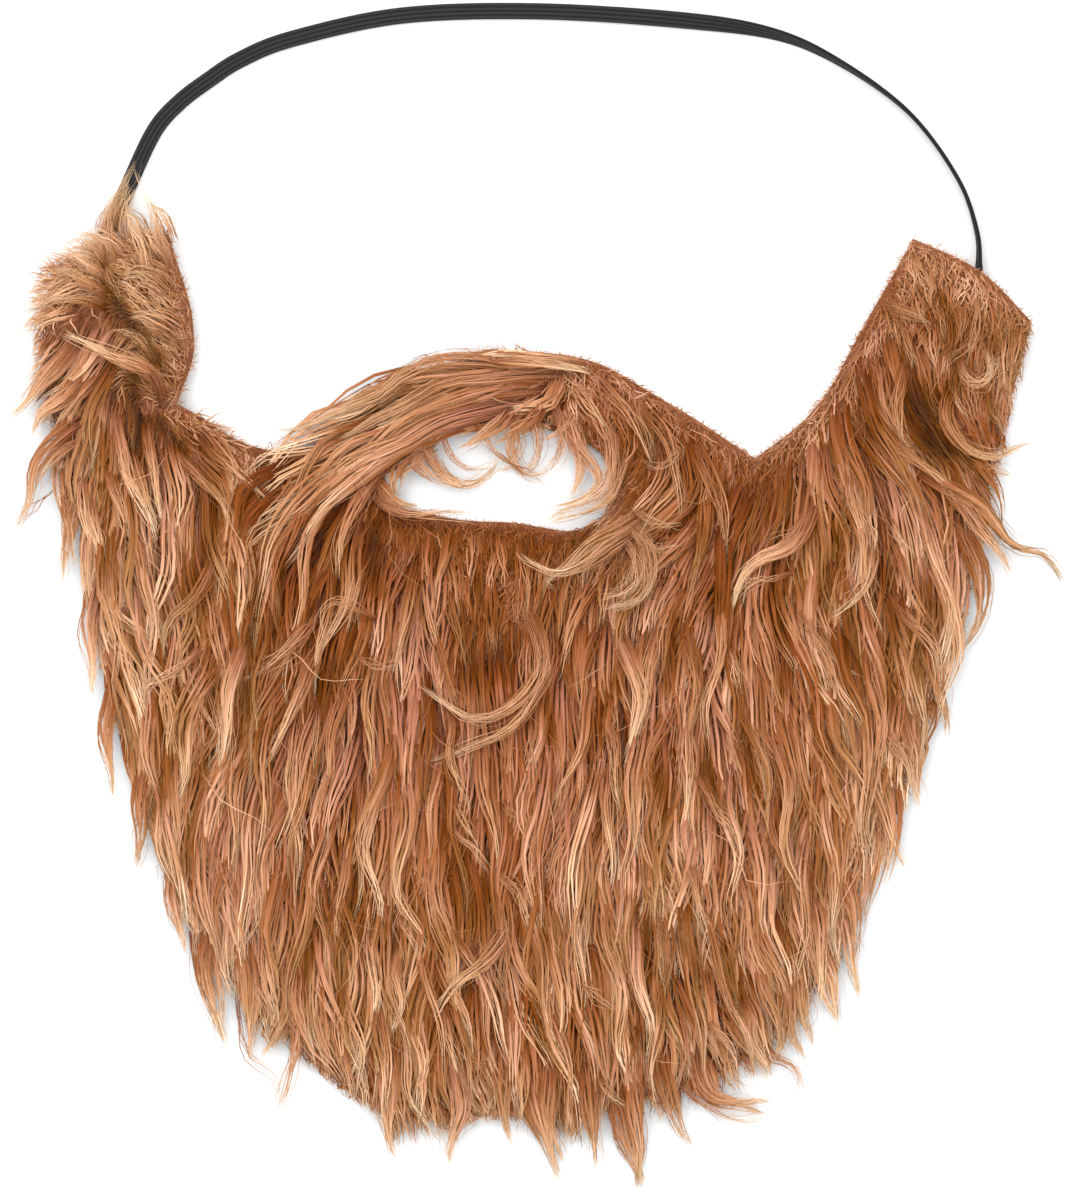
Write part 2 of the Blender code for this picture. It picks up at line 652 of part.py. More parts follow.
def strap_stations(cloth):
    """Evenly spaced places along the strap with its roll; sewn stretches follow the cloth above."""
    rows = []
    for _, across, up, down, roll, sewn in STRAP:
        rows.append((across * BEARD_WIDTH, TAB_TOP + up * STRAP_RISE - down * BEARD_LENGTH, roll, sewn))
    fine_steps = 400
    beside = STRAP_WIDTH * 0.7
    fine = [smooth_between(rows, index / fine_steps) for index in range(fine_steps + 1)]
    run = [0.0]
    for start, end in zip(fine, fine[1:]):
        run.append(run[-1] + math.hypot(end[0] - start[0], end[1] - start[1]))
    stations, cursor = [], 0
    for index in range(STRAP_STATIONS):
        wanted = run[-1] * index / (STRAP_STATIONS - 1)
        while cursor < fine_steps - 1 and run[cursor + 1] < wanted:
            cursor += 1
        share = (wanted - run[cursor]) / (run[cursor + 1] - run[cursor])
        x, y, roll, sewn = (a + (b - a) * share for a, b in zip(fine[cursor], fine[cursor + 1]))
        angle = math.radians(roll)
        half_height = (STRAP_WIDTH * abs(math.sin(angle)) + STRAP_THICKNESS * abs(math.cos(angle))) / 2
        steps = (-beside, 0, beside)
        around = [Vector((x + right, y + ahead)) for right in steps for ahead in steps]
        room = room_below(cloth, around)
        height = half_height
        if room is not None:
            height += (max(room - GAP - half_height, half_height) - half_height) * smooth_step(sewn)
        stations.append((Vector((x, y, height)), 1.0, angle))
    return stations


def make_strap(collection, helpers, backing):
    cloth = BVHTree.FromObject(backing, bpy.context.evaluated_depsgraph_get())
    section = section_curve("strap_section", strap_section())
    helpers.objects.link(section)
    hide_helper(section)
    strap = swept_curve("elastic_strap", section, strap_stations(cloth))
    strap.data.materials.append(plain_material("braided_elastic", (0.018, 0.018, 0.02), 0.6))
    collection.objects.link(strap)


clear_scene()
CLOTH = cloth_loop()
MOUTH_HOLE = mouth_loop()
beard = new_collection("costume_beard")
guides = new_collection("guides")
knitted_backing = make_backing(beard)
make_fur(beard, guides)
make_strap(beard, guides, knitted_backing)
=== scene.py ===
"""Looks of a costume beard of long-pile fur cloth with an elastic head strap, lying flat on its back.

The frame's three solids are dressed: the knitted backing as a cut sheet, the pile as wisps and single hairs
in wavy locks over a dense underfur, and the strap as a braided elastic. Metres, as in the frame.
"""
import math

import bmesh
import bpy
import numpy as np
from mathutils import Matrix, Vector
from mathutils.bvhtree import BVHTree
from mathutils.kdtree import KDTree
from mathutils.geometry import delaunay_2d_cdt


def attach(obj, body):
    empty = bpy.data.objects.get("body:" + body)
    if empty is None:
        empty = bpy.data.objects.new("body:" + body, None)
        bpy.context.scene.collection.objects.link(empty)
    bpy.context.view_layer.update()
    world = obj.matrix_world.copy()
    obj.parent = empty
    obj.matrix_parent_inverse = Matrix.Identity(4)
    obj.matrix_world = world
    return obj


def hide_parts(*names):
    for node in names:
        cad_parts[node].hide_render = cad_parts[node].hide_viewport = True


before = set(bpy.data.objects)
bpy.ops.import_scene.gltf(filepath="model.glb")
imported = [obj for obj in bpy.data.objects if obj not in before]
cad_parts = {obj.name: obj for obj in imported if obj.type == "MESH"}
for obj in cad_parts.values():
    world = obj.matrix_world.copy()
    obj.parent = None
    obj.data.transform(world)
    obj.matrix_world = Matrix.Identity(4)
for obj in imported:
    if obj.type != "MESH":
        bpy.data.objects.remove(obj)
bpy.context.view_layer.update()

BODY = "root"

# Sizes of the frame's cloth, pile and strap that the looks follow
BEARD_WIDTH = 0.350
BEARD_LENGTH = 0.336
TAB_TOP = 0.140
BACKING_THICKNESS = 0.0015
TAB_BULGE = 0.009          # rise of the highest fold
PILE_DEPTH = 0.0050
PILE_EDGE_DEPTH = 0.0018
PILE_RAMP = 0.012          # from the cut edge to where the pile has its whole depth
DROP_REACH = 0.026         # from the cut edge to where hanging hair lies on the table
STRAP_WIDTH = 0.0060
STRAP_THICKNESS = 0.0013
STRAP_RISE = 0.080
GAP = 0.0003               # between the cloth's underside and the strap behind it
TIP_GAP = 0.0004           # between the table and hair that lies on it

# The picture's frame of 1070 by 1200 pixels, which the tables below give their places in
PIXEL = 0.00035            # metres on the table
ORIGIN_COLUMN = 525
ORIGIN_ROW = 640
PICTURE_COLUMNS = 1070
PICTURE_ROWS = 1200
MILLIMETRES = 1000         # in a metre

# Camera, light and floor
CAMERA_HEIGHT = 1.75
SENSOR_WIDTH = 36.0        # millimetres
WORLD_STRENGTH = 0.86
FLOOR_SIDE = 6
# Name, place in metres, side in metres, watts
LIGHTS = (
    ("key", (-0.7, 1.1, 1.7), 2.0, 36),
    ("fill", (0.9, -0.6, 1.9), 2.2, 16),
)

# Sockets of a Mix node in colour mode
MIX_A = 6
MIX_B = 7

# Reading the cut edges off the frame's cloth
SAME_PLACE = 1e-6          # corners this near are one
FACING_DOWN = -0.5         # upward part of a face's normal below which it is underside
FACING_SIDE = 0.3          # and within which it is a side
SHARP_TURN = 0.5           # sine of the turn from which a corner of the cut stays sharp
EDGE_PIECES = 4            # pieces of the rounded cut between two of its points

# Values over the table are worked out once on a grid, and read between its points
GRID_LOW = np.array((-0.22, -0.23))
GRID_HIGH = np.array((0.23, 0.25))
GRID_STEP = 0.0015
STREAM_FALLOFF = 4         # how soon a stream of the comb gives way to the next
STREAM_CORE = 1e-7         # keeps a stream's pull finite at its own place
NEVER_ZERO = 1e-12         # keeps a way of no length from a division by zero

# Strands
HAIR_LENGTH = 0.078
HAIR_RADIUS = 0.00014      # of a drawn hair, which stands for a few real ones of 0.08 mm
WISP_RADIUS = 0.00060      # half the width of a wisp, a flat bundle of about fifteen hairs
WISP_FLATNESS = 0.22
NAP_RADIUS = 0.00026       # half the width of a tuft of the short nap, five or six hairs
NAP_FLATNESS = 0.6
STRAND_ROUNDNESS = 0.17    # how far a strand's own shading turns from side to side
STRAND_STRAY = 0.00055     # how far strands leave their lock towards its tip
STRAND_WANDER = 0.00045    # how far they swing within it
WANDER_SWINGS = (7, 16)    # radians that they swing through on their way
STRAND_LIFT = 0.0006       # how much higher one may lie than another
LATEST_START = 0.14        # share of a lock's length within which its strands begin
FORKING = 1.5              # the higher, the fewer strands end early
OUT_OF_UNDERFUR = 0.12     # share of its length in which a strand comes up through the underfur
PAINTED_SHADE_ROOTS = 0.35        # share of its length from the root that a parting's painted shade darkens
CALM_PAST_EDGE = 0.70      # how much of its rise a lock loses where it hangs past the cut edge
GIRTHS = (0.45, 1.30)      # range of a strand's girth
LEAST_BREADTH = 0.3        # the least that narrow locks thin their strands to
ROOT_GIRTH = 0.25          # a strand's girth where it starts, as a share of the whole
WHOLE_GIRTH_FROM = 0.18    # share of its length from which a strand has its whole girth
DRAWN_FROM = 0.35          # and from which it is drawn to a point

# Locks
LOCK_PITCH = 0.0084
LOCK_WIDTH = 0.0090
LOCK_RISE = 0.0058
LOCK_CROWN = 0.38          # how high a lock is in its middle, as a share of its width
LOCK_ROUNDNESS = 1.5       # how far a lock's shading turns from one side to the other
BROAD_LOCK = 0.0055        # the width from which a lock's strands are drawn at their whole size
LONG_COMB = 0.62           # the comb's length share from which hair is fully grown
LEAST_LOCK = 0.0018        # shorter ones are left out
WAVE_LENGTH = 0.046
WAVE_REACH = 0.0024
PATH_POINTS = 33
BODY_POINTS = slice(1, 26)  # the points of a path that its lock covers the cloth with

# Sizes in metres of the patches in which the turn, wave, gold, tone and shadow of the pile wander
DRIFT_CELLS = (0.024, 0.030, 0.035, 0.009, 0.026)
TURN_DRIFT = 9             # degrees
PHASE_DRIFT = 3.5          # radians
PHASE_SPREAD = 0.7
WAVE_REACHES = (0.5, 1.6)  # range of the wave's reach and length from lock to lock
WAVE_LENGTHS = (0.8, 1.25)
GOLD_DRIFT = 0.26
TONE_MIDDLE = 0.5
TONE_DRIFT = 0.26
TONE_OF_GLOW = 0.30
TONE_SPREAD = 0.15
WIDE_RUN = 0.06            # lengths of a lock that is as wide and as high as its kind
HIGH_RUN = 0.05

# Locks placed one by one: reach and length of their own wave, range of tones, and the share of a parting's
# dark that they take, since they lie above it
# The partings' dark that these locks take a share of is painted shade.
PLACED_REACH = 0.0006
PLACED_WAVE = 0.030
PLACED_TONES = (0.4, 0.8)
PLACED_SHADE = 0.2
LONG_LOCK = 0.035          # the length from which one has the more stations
LONG_STATIONS = 12
SHORT_STATIONS = 9

# How the strands of a lock differ from it, and from each other
TONE_OF_LOCK = 0.95
TONE_OF_STRAND = 0.20
PAINTED_SHADE_OF_DEPTH = 0.20       # painted shade: tone taken off strands deep in the lock
DARK_STRANDS = 0.09        # share of them that are darker
DARKER = 0.30
GOLD_OF_STRAND = 0.10
WARMTH_OF_LOCK = 0.7
WARMTH_OF_STRAND = 0.3
RIPE_WHEN_SHORT = 0.55     # how light short pile is at its root already
SEEDS_ACROSS = 9           # millimetres of the streaks' pattern that strands are laid in

# How far combed hair hangs past the cut edge
TUFT_CELL = 0.016          # size of the patches that hang far together
TUFT_MIDDLE = 0.75
TUFT_DRIFT = 0.3
TUFT_JITTER = 0.2
TUFT_REACHES = (0.25, 1.1)  # least and greatest share of the overhang
HEM_JITTER = (-22, 10)     # pixels
HEM_DEPTH = 0.0025         # off the cloth, from where the hem counts
MOUTH_DEPTH = 0.0005       # off the cloth, from where the mouth hole counts
MOUTH_REACH = (0.052, 0.034)

# Where locks are rooted
FIELD_REACH = 0.20         # half the side of the square that places are strewn over
JITTER = 0.3               # share of the pitch that each is moved by
EDGE_JITTER = 0.4
ROOT_INSET = 0.0006        # from the cut edge
PLUSH_PITCH = 0.0036
PLUSH_REACH = 0.003        # around a place, where points of the locks count
PLUSH_FEWEST = 5           # with fewer of them, the cloth is thinly covered
NAP_PITCH = 0.00118
SHORT_COMB = (0.34, 0.52)  # range of the comb's length share below which the pile is nap
BARED_EDGE = (0.002, 0.008)  # range of the band that is bared where the pile is combed onto the cloth
RIM_BAND = (0.0002, 0.0018)
NAP_EVENNESS = 0.3         # how far short nap is drawn towards long nap's length
NAP_SHARE = 0.76
TUFT_GIRTHS = (0.6, 1.4)   # range of a nap tuft's girth
FUZZ_SPACING = 0.0007
FUZZ_INSET = 0.0005
LEADS_ON = -0.2            # cosine of the comb to the way inward, above which it leads onto the cloth
LEADS_OFF = -0.25          # and below which it leads off it
RIM_SPACING = 0.00042
RIM_SHORTEST = 0.0028
RIM_LONGEST = 0.0060
YARN_SPACING = 0.0011
YARN_RADIUS = 0.00026
YARN_ENDS = (0.0007, 0.0018)  # range of the ends' lengths
YARN_SLANT = 0.7           # how far they lean along the cut at most
YARN_ROOT = 0.0004         # how far inside the cut they start
YARN_HEIGHT = 0.75         # share of the cloth's thickness

# Seeds of the random draws
FUR_SEED = 7
CLOTH_SEED = 3
YARN_SEED = 5
UNDERFUR_SEED = 11

# Real sizes that the patterns are drawn at, in metres
FIBRE_STREAK = (0.0008333, 0.02222)  # across and along a wisp, where crimped fibres catch the light together
FELT_GRAIN = 0.000625      # the underfur's clumps of fibre; single fibres of 0.03 mm are too fine to show
KNIT_ROW = 0.0012          # the backing's loops
KNIT_WALE = 0.0015
BRAID_YARN = 0.0007        # yarn of the elastic's braid
BACKING_PITCH = 0.005      # of the cloth's mesh
CUT_CLEARANCE = 0.45       # share of the pitch that the mesh's inner points keep off the cut
UNDERFUR_PITCH = 0.0042
UNDERFUR_SHARE = 0.72      # of the pile's depth
UNDERFUR_RAMP = 0.005      # from the cut edge to where it has that share
UNDERFUR_LEAST = 0.0002
UNDERFUR_GAP = 0.00005     # keeps it off the cloth's own top
UNDERFUR_DENT = 0.00035
DENTS = 4096
PRIME_ACROSS = 7919        # scatter the dents over the places of the mesh
PRIME_UP = 104729
CREASE_ANGLE = 50          # degrees from which an edge of the cloth is shaded sharp

# The elastic
STRAP_CORDS = 4
CORD_STEPS = 4             # points across each cord
CORD_FLATNESS = 0.6
GROOVE = 0.62              # thickness between the cords as a share of the whole
STRAP_STATIONS = 250
STRAP_STEPS = 24           # points of the route between two of its rows
SETTLED_OVER = 9           # stations that the strap's height is evened out over

# Which way the pile is combed. heading: degrees from straight down, towards +X; length: share of
# HAIR_LENGTH.
STREAMS = (
    ("tab_left_roll", 160, 298, -125, 0.21),
    ("tab_left_roll_low", 165, 370, -140, 0.19),
    ("tab_left_top", 110, 262, -110, 0.24),
    ("tab_left_side", 65, 298, -75, 0.34),
    ("tab_left_low_side", 60, 350, -38, 0.70),
    ("tab_left_middle", 100, 341, -20, 0.90),
    ("tab_left_foot", 130, 432, -4, 1.00),
    ("crease_cheek", 215, 432, 40, 0.85),
    ("cheek_left", 110, 557, 5, 1.00),
    ("cheek_left_inner", 215, 566, 4, 1.00),
    ("side_left", 125, 720, 8, 0.95),
    ("flank_left", 265, 720, -14, 1.00),
    ("chin_left", 240, 922, 0, 0.90),
    ("valley_left", 290, 490, -45, 1.00),
    ("lip_left", 390, 403, -64, 1.05),
    ("lip_middle", 500, 384, -82, 1.10),
    ("lip_right", 610, 384, 22, 0.34),
    ("lip_right_low", 690, 451, 14, 0.52),
    ("mouth_right", 650, 499, -40, 0.30),
    ("lower_lip", 490, 557, -2, 0.40),
    ("lower_lip_left", 390, 557, -8, 0.60),
    ("middle", 460, 720, 2, 0.95),
    ("middle_right", 610, 730, -5, 1.00),
    ("flank_right", 790, 691, 14, 1.00),
    ("valley_right", 755, 499, -4, 0.90),
    ("tab_right_top", 925, 278, 14, 0.22),
    ("tab_right_side", 990, 346, -8, 0.36),
    ("tab_right_inner", 870, 370, 8, 0.75),
    ("tab_right_foot", 925, 451, 34, 1.00),
    ("cheek_right", 850, 518, 14, 1.05),
    ("side_right", 935, 600, 4, 0.90),
    ("side_right_low", 880, 797, 8, 0.90),
    ("chin_right", 740, 979, 12, 0.85),
    ("chin_middle", 560, 1018, 6, 0.80),
    ("chin_left_low", 400, 1027, 3, 0.80),
)

# How far combed hair may hang past the cut edge by the row of the picture: row, millimetres on the left half
# and on the right half
OVERHANG = (
    (0, 10, 5),
    (330, 10, 2),
    (440, 8, 3),
    (520, 6, 8),
    (600, 5, 5),
    (760, 5, 5),
    (860, 7, 8),
    (920, 8, 6),
    (1000, 14, 12),
    (1060, 26, 24),
    (1200, 34, 34),
)

# The lowest place that combed hair reaches under each column of the picture
HEM = (
    ("cheek_left", 60, 620),
    ("jaw_left", 100, 690),
    ("jaw_left_low", 150, 850),
    ("side_left", 200, 972),
    ("chin_left_outer", 240, 1012),
    ("chin_left_step", 300, 1062),
    ("chin_left_rise", 345, 1082),
    ("chin_tips_start", 390, 1140),
    ("chin_tips_left", 440, 1152),
    ("chin_notch", 485, 1116),
    ("chin_middle", 530, 1134),
    ("chin_tips_right", 575, 1156),
    ("chin_notch_right", 605, 1126),
    ("chin_tip_far", 640, 1140),
    ("chin_right", 690, 1108),
    ("chin_right_tuft", 750, 1102),
    ("side_right_low", 790, 1048),
    ("side_right", 840, 984),
    ("jaw_right_low", 870, 905),
    ("jaw_right", 905, 860),
    ("jaw_right_high", 935, 750),
    ("cheek_right", 975, 640),
)

# Where the pile parts and lies lower, with painted shade along the crease. width: millimetres; depth: share
# of the light that the painted shade takes off, and of the rise that the pile loses there; then the places
# that it runs through.
PAINTED_SHADE_PARTINGS = (
    ("left_crease", 3.2, 0.85, (103, 264), (112, 282), (121, 302), (134, 324), (148, 344), (160, 362)),
    ("left_crease_pit", 4.0, 0.92, (119, 306), (122, 314), (134, 326), (140, 336)),
    ("left_crease_low", 3.4, 0.85, (138, 380), (136, 396), (141, 418), (144, 446)),
    ("left_crease_foot", 3.2, 0.85, (160, 422), (172, 438), (184, 446)),
    ("left_dome_foot", 2.0, 0.35, (60, 305), (84, 308), (112, 312)),
    ("left_tab_foot", 2.6, 0.50, (108, 440), (106, 470), (104, 510)),
    ("left_valley", 2.8, 0.65, (204, 446), (218, 458), (214, 474)),
    ("right_tab_line", 1.8, 0.60, (938, 298), (948, 318), (950, 345), (954, 372)),
    ("right_tab_gap", 7.0, 0.85, (916, 400), (924, 420), (930, 440), (944, 452)),
    ("mouth_right_shade", 9.0, 0.25, (650, 440), (662, 490), (644, 530)),
    ("right_tab_gap_side", 3.0, 0.70, (950, 384), (944, 404), (946, 430), (964, 456)),
    ("right_tab_rim", 2.0, 0.40, (984, 396), (990, 420), (984, 440)),
    ("right_tab_inner", 2.5, 0.40, (872, 420), (868, 446), (872, 474)),
    ("right_cheek", 4.0, 0.45, (844, 520), (832, 552), (826, 600)),
    ("lip_corner_left", 3.4, 0.50, (374, 532), (372, 556), (376, 586)),
    ("lower_lip", 9.0, 0.24, (410, 540), (470, 545), (540, 548), (600, 552)),
    ("lower_lip_right", 2.5, 0.40, (556, 548), (590, 544), (612, 534)),
    ("scroll_pit", 3.0, 0.30, (612, 556), (620, 570), (614, 582)),
    ("under_lip_left", 2.6, 0.45, (476, 576), (482, 600), (496, 626)),
    ("under_lip_middle", 3.0, 0.50, (540, 590), (542, 612), (538, 636)),
    ("left_tab_column", 2.6, 0.50, (110, 470), (109, 500), (110, 540), (108, 580)),
    ("cheek_left_hollow", 3.4, 0.50, (222, 466), (212, 540), (204, 570), (188, 590)),
    ("cheek_left_low", 3.0, 0.50, (206, 596), (204, 626), (196, 640)),
    ("cheek_left_step", 2.6, 0.50, (128, 628), (140, 652), (126, 676)),
    ("flank_left_a", 2.6, 0.55, (256, 590), (256, 620), (246, 650)),
    ("flank_left_b", 2.6, 0.55, (214, 662), (216, 696), (212, 712)),
    ("flank_left_c", 2.6, 0.55, (248, 680), (244, 720), (238, 760)),
    ("flank_left_d", 3.4, 0.50, (190, 704), (180, 736), (170, 770), (166, 800)),
    ("flank_left_e", 3.2, 0.55, (206, 756), (198, 790), (192, 830), (188, 870)),
    ("flank_middle", 2.8, 0.45, (284, 568), (286, 604), (276, 640)),
    ("flank_middle_low", 3.0, 0.45, (340, 646), (330, 680), (322, 706)),
    ("lip_corner_hollow", 4.2, 0.60, (378, 526), (374, 560), (378, 596)),
    ("scroll_hollow", 6.0, 0.38, (470, 620), (466, 650), (476, 676), (500, 656)),
    ("scroll_foot", 2.8, 0.50, (544, 694), (548, 720), (552, 744)),
    ("chin_a", 2.4, 0.50, (616, 676), (604, 706), (598, 730)),
    ("chin_b", 3.0, 0.50, (676, 618), (674, 650), (668, 686)),
    ("chin_c", 2.4, 0.50, (596, 776), (602, 800), (604, 826)),
    ("chin_d", 2.6, 0.45, (656, 762), (660, 790), (670, 816)),
    ("chin_e", 2.6, 0.50, (704, 752), (708, 786), (716, 804)),
    ("chin_dark_patch", 6.5, 0.42, (452, 846), (462, 884), (478, 916), (446, 936)),
    ("chin_dark_line", 2.2, 0.50, (484, 880), (485, 910), (484, 936)),
    ("low_a", 2.6, 0.55, (324, 912), (314, 940), (306, 980), (308, 1020)),
    ("low_b", 2.6, 0.50, (352, 900), (346, 936), (342, 980), (348, 1040)),
    ("low_c", 2.6, 0.50, (544, 932), (540, 966), (538, 1004), (542, 1040)),
    ("low_d", 2.6, 0.50, (642, 912), (648, 944), (652, 966)),
    ("low_e", 2.6, 0.50, (664, 976), (660, 1000), (668, 1020)),
    ("low_f", 3.0, 0.50, (724, 940), (732, 976), (740, 1006)),
    ("low_g", 2.6, 0.45, (696, 960), (694, 990), (690, 1010)),
    ("low_h", 3.0, 0.45, (558, 1060), (552, 1090), (550, 1116)),
    ("low_i", 2.6, 0.45, (786, 880), (782, 920), (788, 946)),
    ("low_j", 3.4, 0.40, (820, 856), (818, 884), (812, 912)),
    ("cheek_right_dark", 4.4, 0.60, (838, 536), (830, 566), (824, 600)),
    ("cheek_right_low", 3.4, 0.50, (852, 606), (848, 634), (856, 664)),
    ("cheek_right_side", 3.2, 0.50, (884, 566), (890, 610), (888, 660), (886, 700)),
    ("cheek_right_pit", 3.0, 0.55, (926, 590), (934, 616), (916, 650), (914, 676)),
    ("jaw_right_line", 2.4, 0.50, (778, 590), (778, 640), (780, 700)),
    ("jaw_right_pit", 2.8, 0.50, (742, 732), (748, 764), (754, 786)),
    ("jaw_right_top", 3.2, 0.40, (812, 506), (800, 560), (760, 606)),
    ("notch_left", 2.6, 0.40, (700, 530), (706, 570), (716, 606)),
    ("sweep_foot", 7.0, 0.32, (318, 478), (330, 520), (322, 570), (316, 610)),
    ("sweep_foot_line", 2.8, 0.55, (352, 520), (344, 560), (336, 600)),
    ("chin_right_pit", 5.0, 0.38, (652, 846), (668, 872), (688, 892)),
    ("chin_foot_pit", 5.0, 0.35, (598, 1008), (620, 1024), (640, 1034)),
    ("jaw_left_pit", 5.0, 0.35, (172, 686), (177, 716), (170, 746)),
    ("low_left_pit", 5.0, 0.32, (366, 1004), (376, 1024), (380, 1046)),
    ("crest_shade", 5.0, 0.30, (420, 372), (400, 384), (374, 402)),
    ("crest_line", 2.2, 0.45, (436, 384), (404, 392), (372, 414), (340, 440)),
)

# Where the pile is lighter or darker than elsewhere: paler or browner hair, and painted shade where it is
# darker at the lip corners, the left cheek's pit and the middle of the right tab. column, row, reach in
# millimetres, and the share of gold that is added
GLOWS = (
    ("left_dome", 82, 276, 16, 0.90),
    ("left_dome_top", 112, 246, 14, 0.95),
    ("left_dome_side", 50, 340, 16, 0.45),
    ("left_flicks", 40, 420, 14, 0.35),
    ("left_roll", 150, 320, 16, 0.50),
    ("left_tab_foot", 120, 480, 18, 0.35),
    ("cheek_left_side", 110, 570, 30, 0.30),
    ("flank_left_side", 150, 740, 30, 0.25),
    ("middle", 520, 700, 40, -0.30),
    ("cheek_right_side", 930, 620, 30, 0.20),
    ("jaw_right_side", 870, 800, 30, 0.15),
    ("chin_low", 360, 980, 40, 0.15),
    ("chin_low_right", 660, 1000, 40, 0.12),
    ("crest", 480, 362, 14, 0.45),
    ("sweep", 390, 420, 16, 0.25),
    ("right_tab_top", 925, 270, 22, 0.22),
    ("right_tab_foot", 960, 540, 16, 0.20),
    ("right_tab_middle", 940, 420, 12, -0.60),
    ("lower_lip", 500, 555, 20, -0.35),
    ("mouth_right", 650, 500, 14, -0.40),
    ("notch", 740, 490, 14, -0.20),
    ("chin_tips_left", 420, 1110, 26, 0.35),
    ("chin_tips_right", 620, 1120, 26, 0.30),
    ("side_left_low", 200, 930, 18, 0.30),
    ("side_right_low", 800, 1000, 22, 0.35),
    ("tab_left_rim", 70, 380, 24, 1.30),
    ("tab_left_lower", 76, 470, 16, 0.95),
    ("cheek_left_rim", 92, 560, 18, 1.60),
    ("jaw_left_rim", 116, 690, 18, 0.90),
    ("jaw_left_foot", 170, 820, 14, 0.80),
    ("cheek_left_top", 190, 450, 16, 0.90),
    ("cheek_left_inner", 225, 620, 12, 1.00),
    ("lip_corner", 325, 470, 20, -1.00),
    ("lip_corner_foot", 325, 560, 14, -0.50),
    ("crest_right", 525, 384, 14, 1.40),
    ("right_tab_rim", 1016, 340, 10, 1.20),
    ("cheek_right_top", 840, 450, 22, 0.70),
    ("cheek_right_rim", 970, 530, 12, 1.00),
    ("jaw_right_rim", 915, 700, 14, 0.45),
    ("jaw_right_foot", 872, 820, 10, 0.60),
    ("chin_right", 680, 790, 32, 0.38),
    ("chin_right_low", 680, 880, 14, 0.45),
    ("mouth_foot", 525, 600, 14, -0.60),
    ("chin_middle", 520, 790, 16, -0.70),
    ("chin_left_low", 375, 900, 20, 0.45),
    ("side_left_foot", 225, 900, 12, 2.00),
    ("side_right_foot", 830, 900, 12, 1.50),
    ("chin_tips_middle", 450, 1060, 16, 0.90),
    ("chin_right_foot", 720, 1000, 14, 0.35),
    ("left_column", 120, 500, 16, 0.80),
    ("lip_right_end", 620, 520, 12, 1.00),
    ("lip_right", 625, 420, 14, -0.35),
    ("sweep_middle", 430, 420, 12, 1.00),
    ("chin_right_upper", 640, 740, 16, 0.50),
    ("chin_right_lower", 670, 880, 14, 0.40),
    ("chin_middle_low", 540, 850, 16, 0.10),
    ("chin_left_lower", 380, 900, 16, 0.30),
    ("chin_middle_foot", 570, 980, 16, -0.75),
    ("hem_left", 290, 980, 16, 0.60),
    ("notch_foot", 665, 520, 12, -0.90),
    ("lip_right_top", 582, 408, 12, -0.40),
    ("cheek_left_crest", 226, 476, 12, 0.80),
    ("chin_middle_lower", 540, 870, 14, 0.40),
    ("lip_right_inner", 590, 440, 12, -0.90),
    ("cheek_left_pit", 172, 650, 12, -0.50),
    ("mouth_left", 430, 372, 10, -0.40),
    ("right_tab_side", 925, 310, 12, -0.35),
)

# Folds of the cloth: middle, reach across and down in shares of BEARD_WIDTH and BEARD_LENGTH, rise as a
# share of TAB_BULGE.
FOLDS = (
    ("left_roll", 158, 325, 0.028, 0.075, 1.00),
    ("left_dome", 80, 301, 0.042, 0.046, 0.80),
    ("left_pucker", 203, 428, 0.024, 0.022, 0.40),
    ("right_strap_end", 975, 273, 0.062, 0.060, 0.86),
)
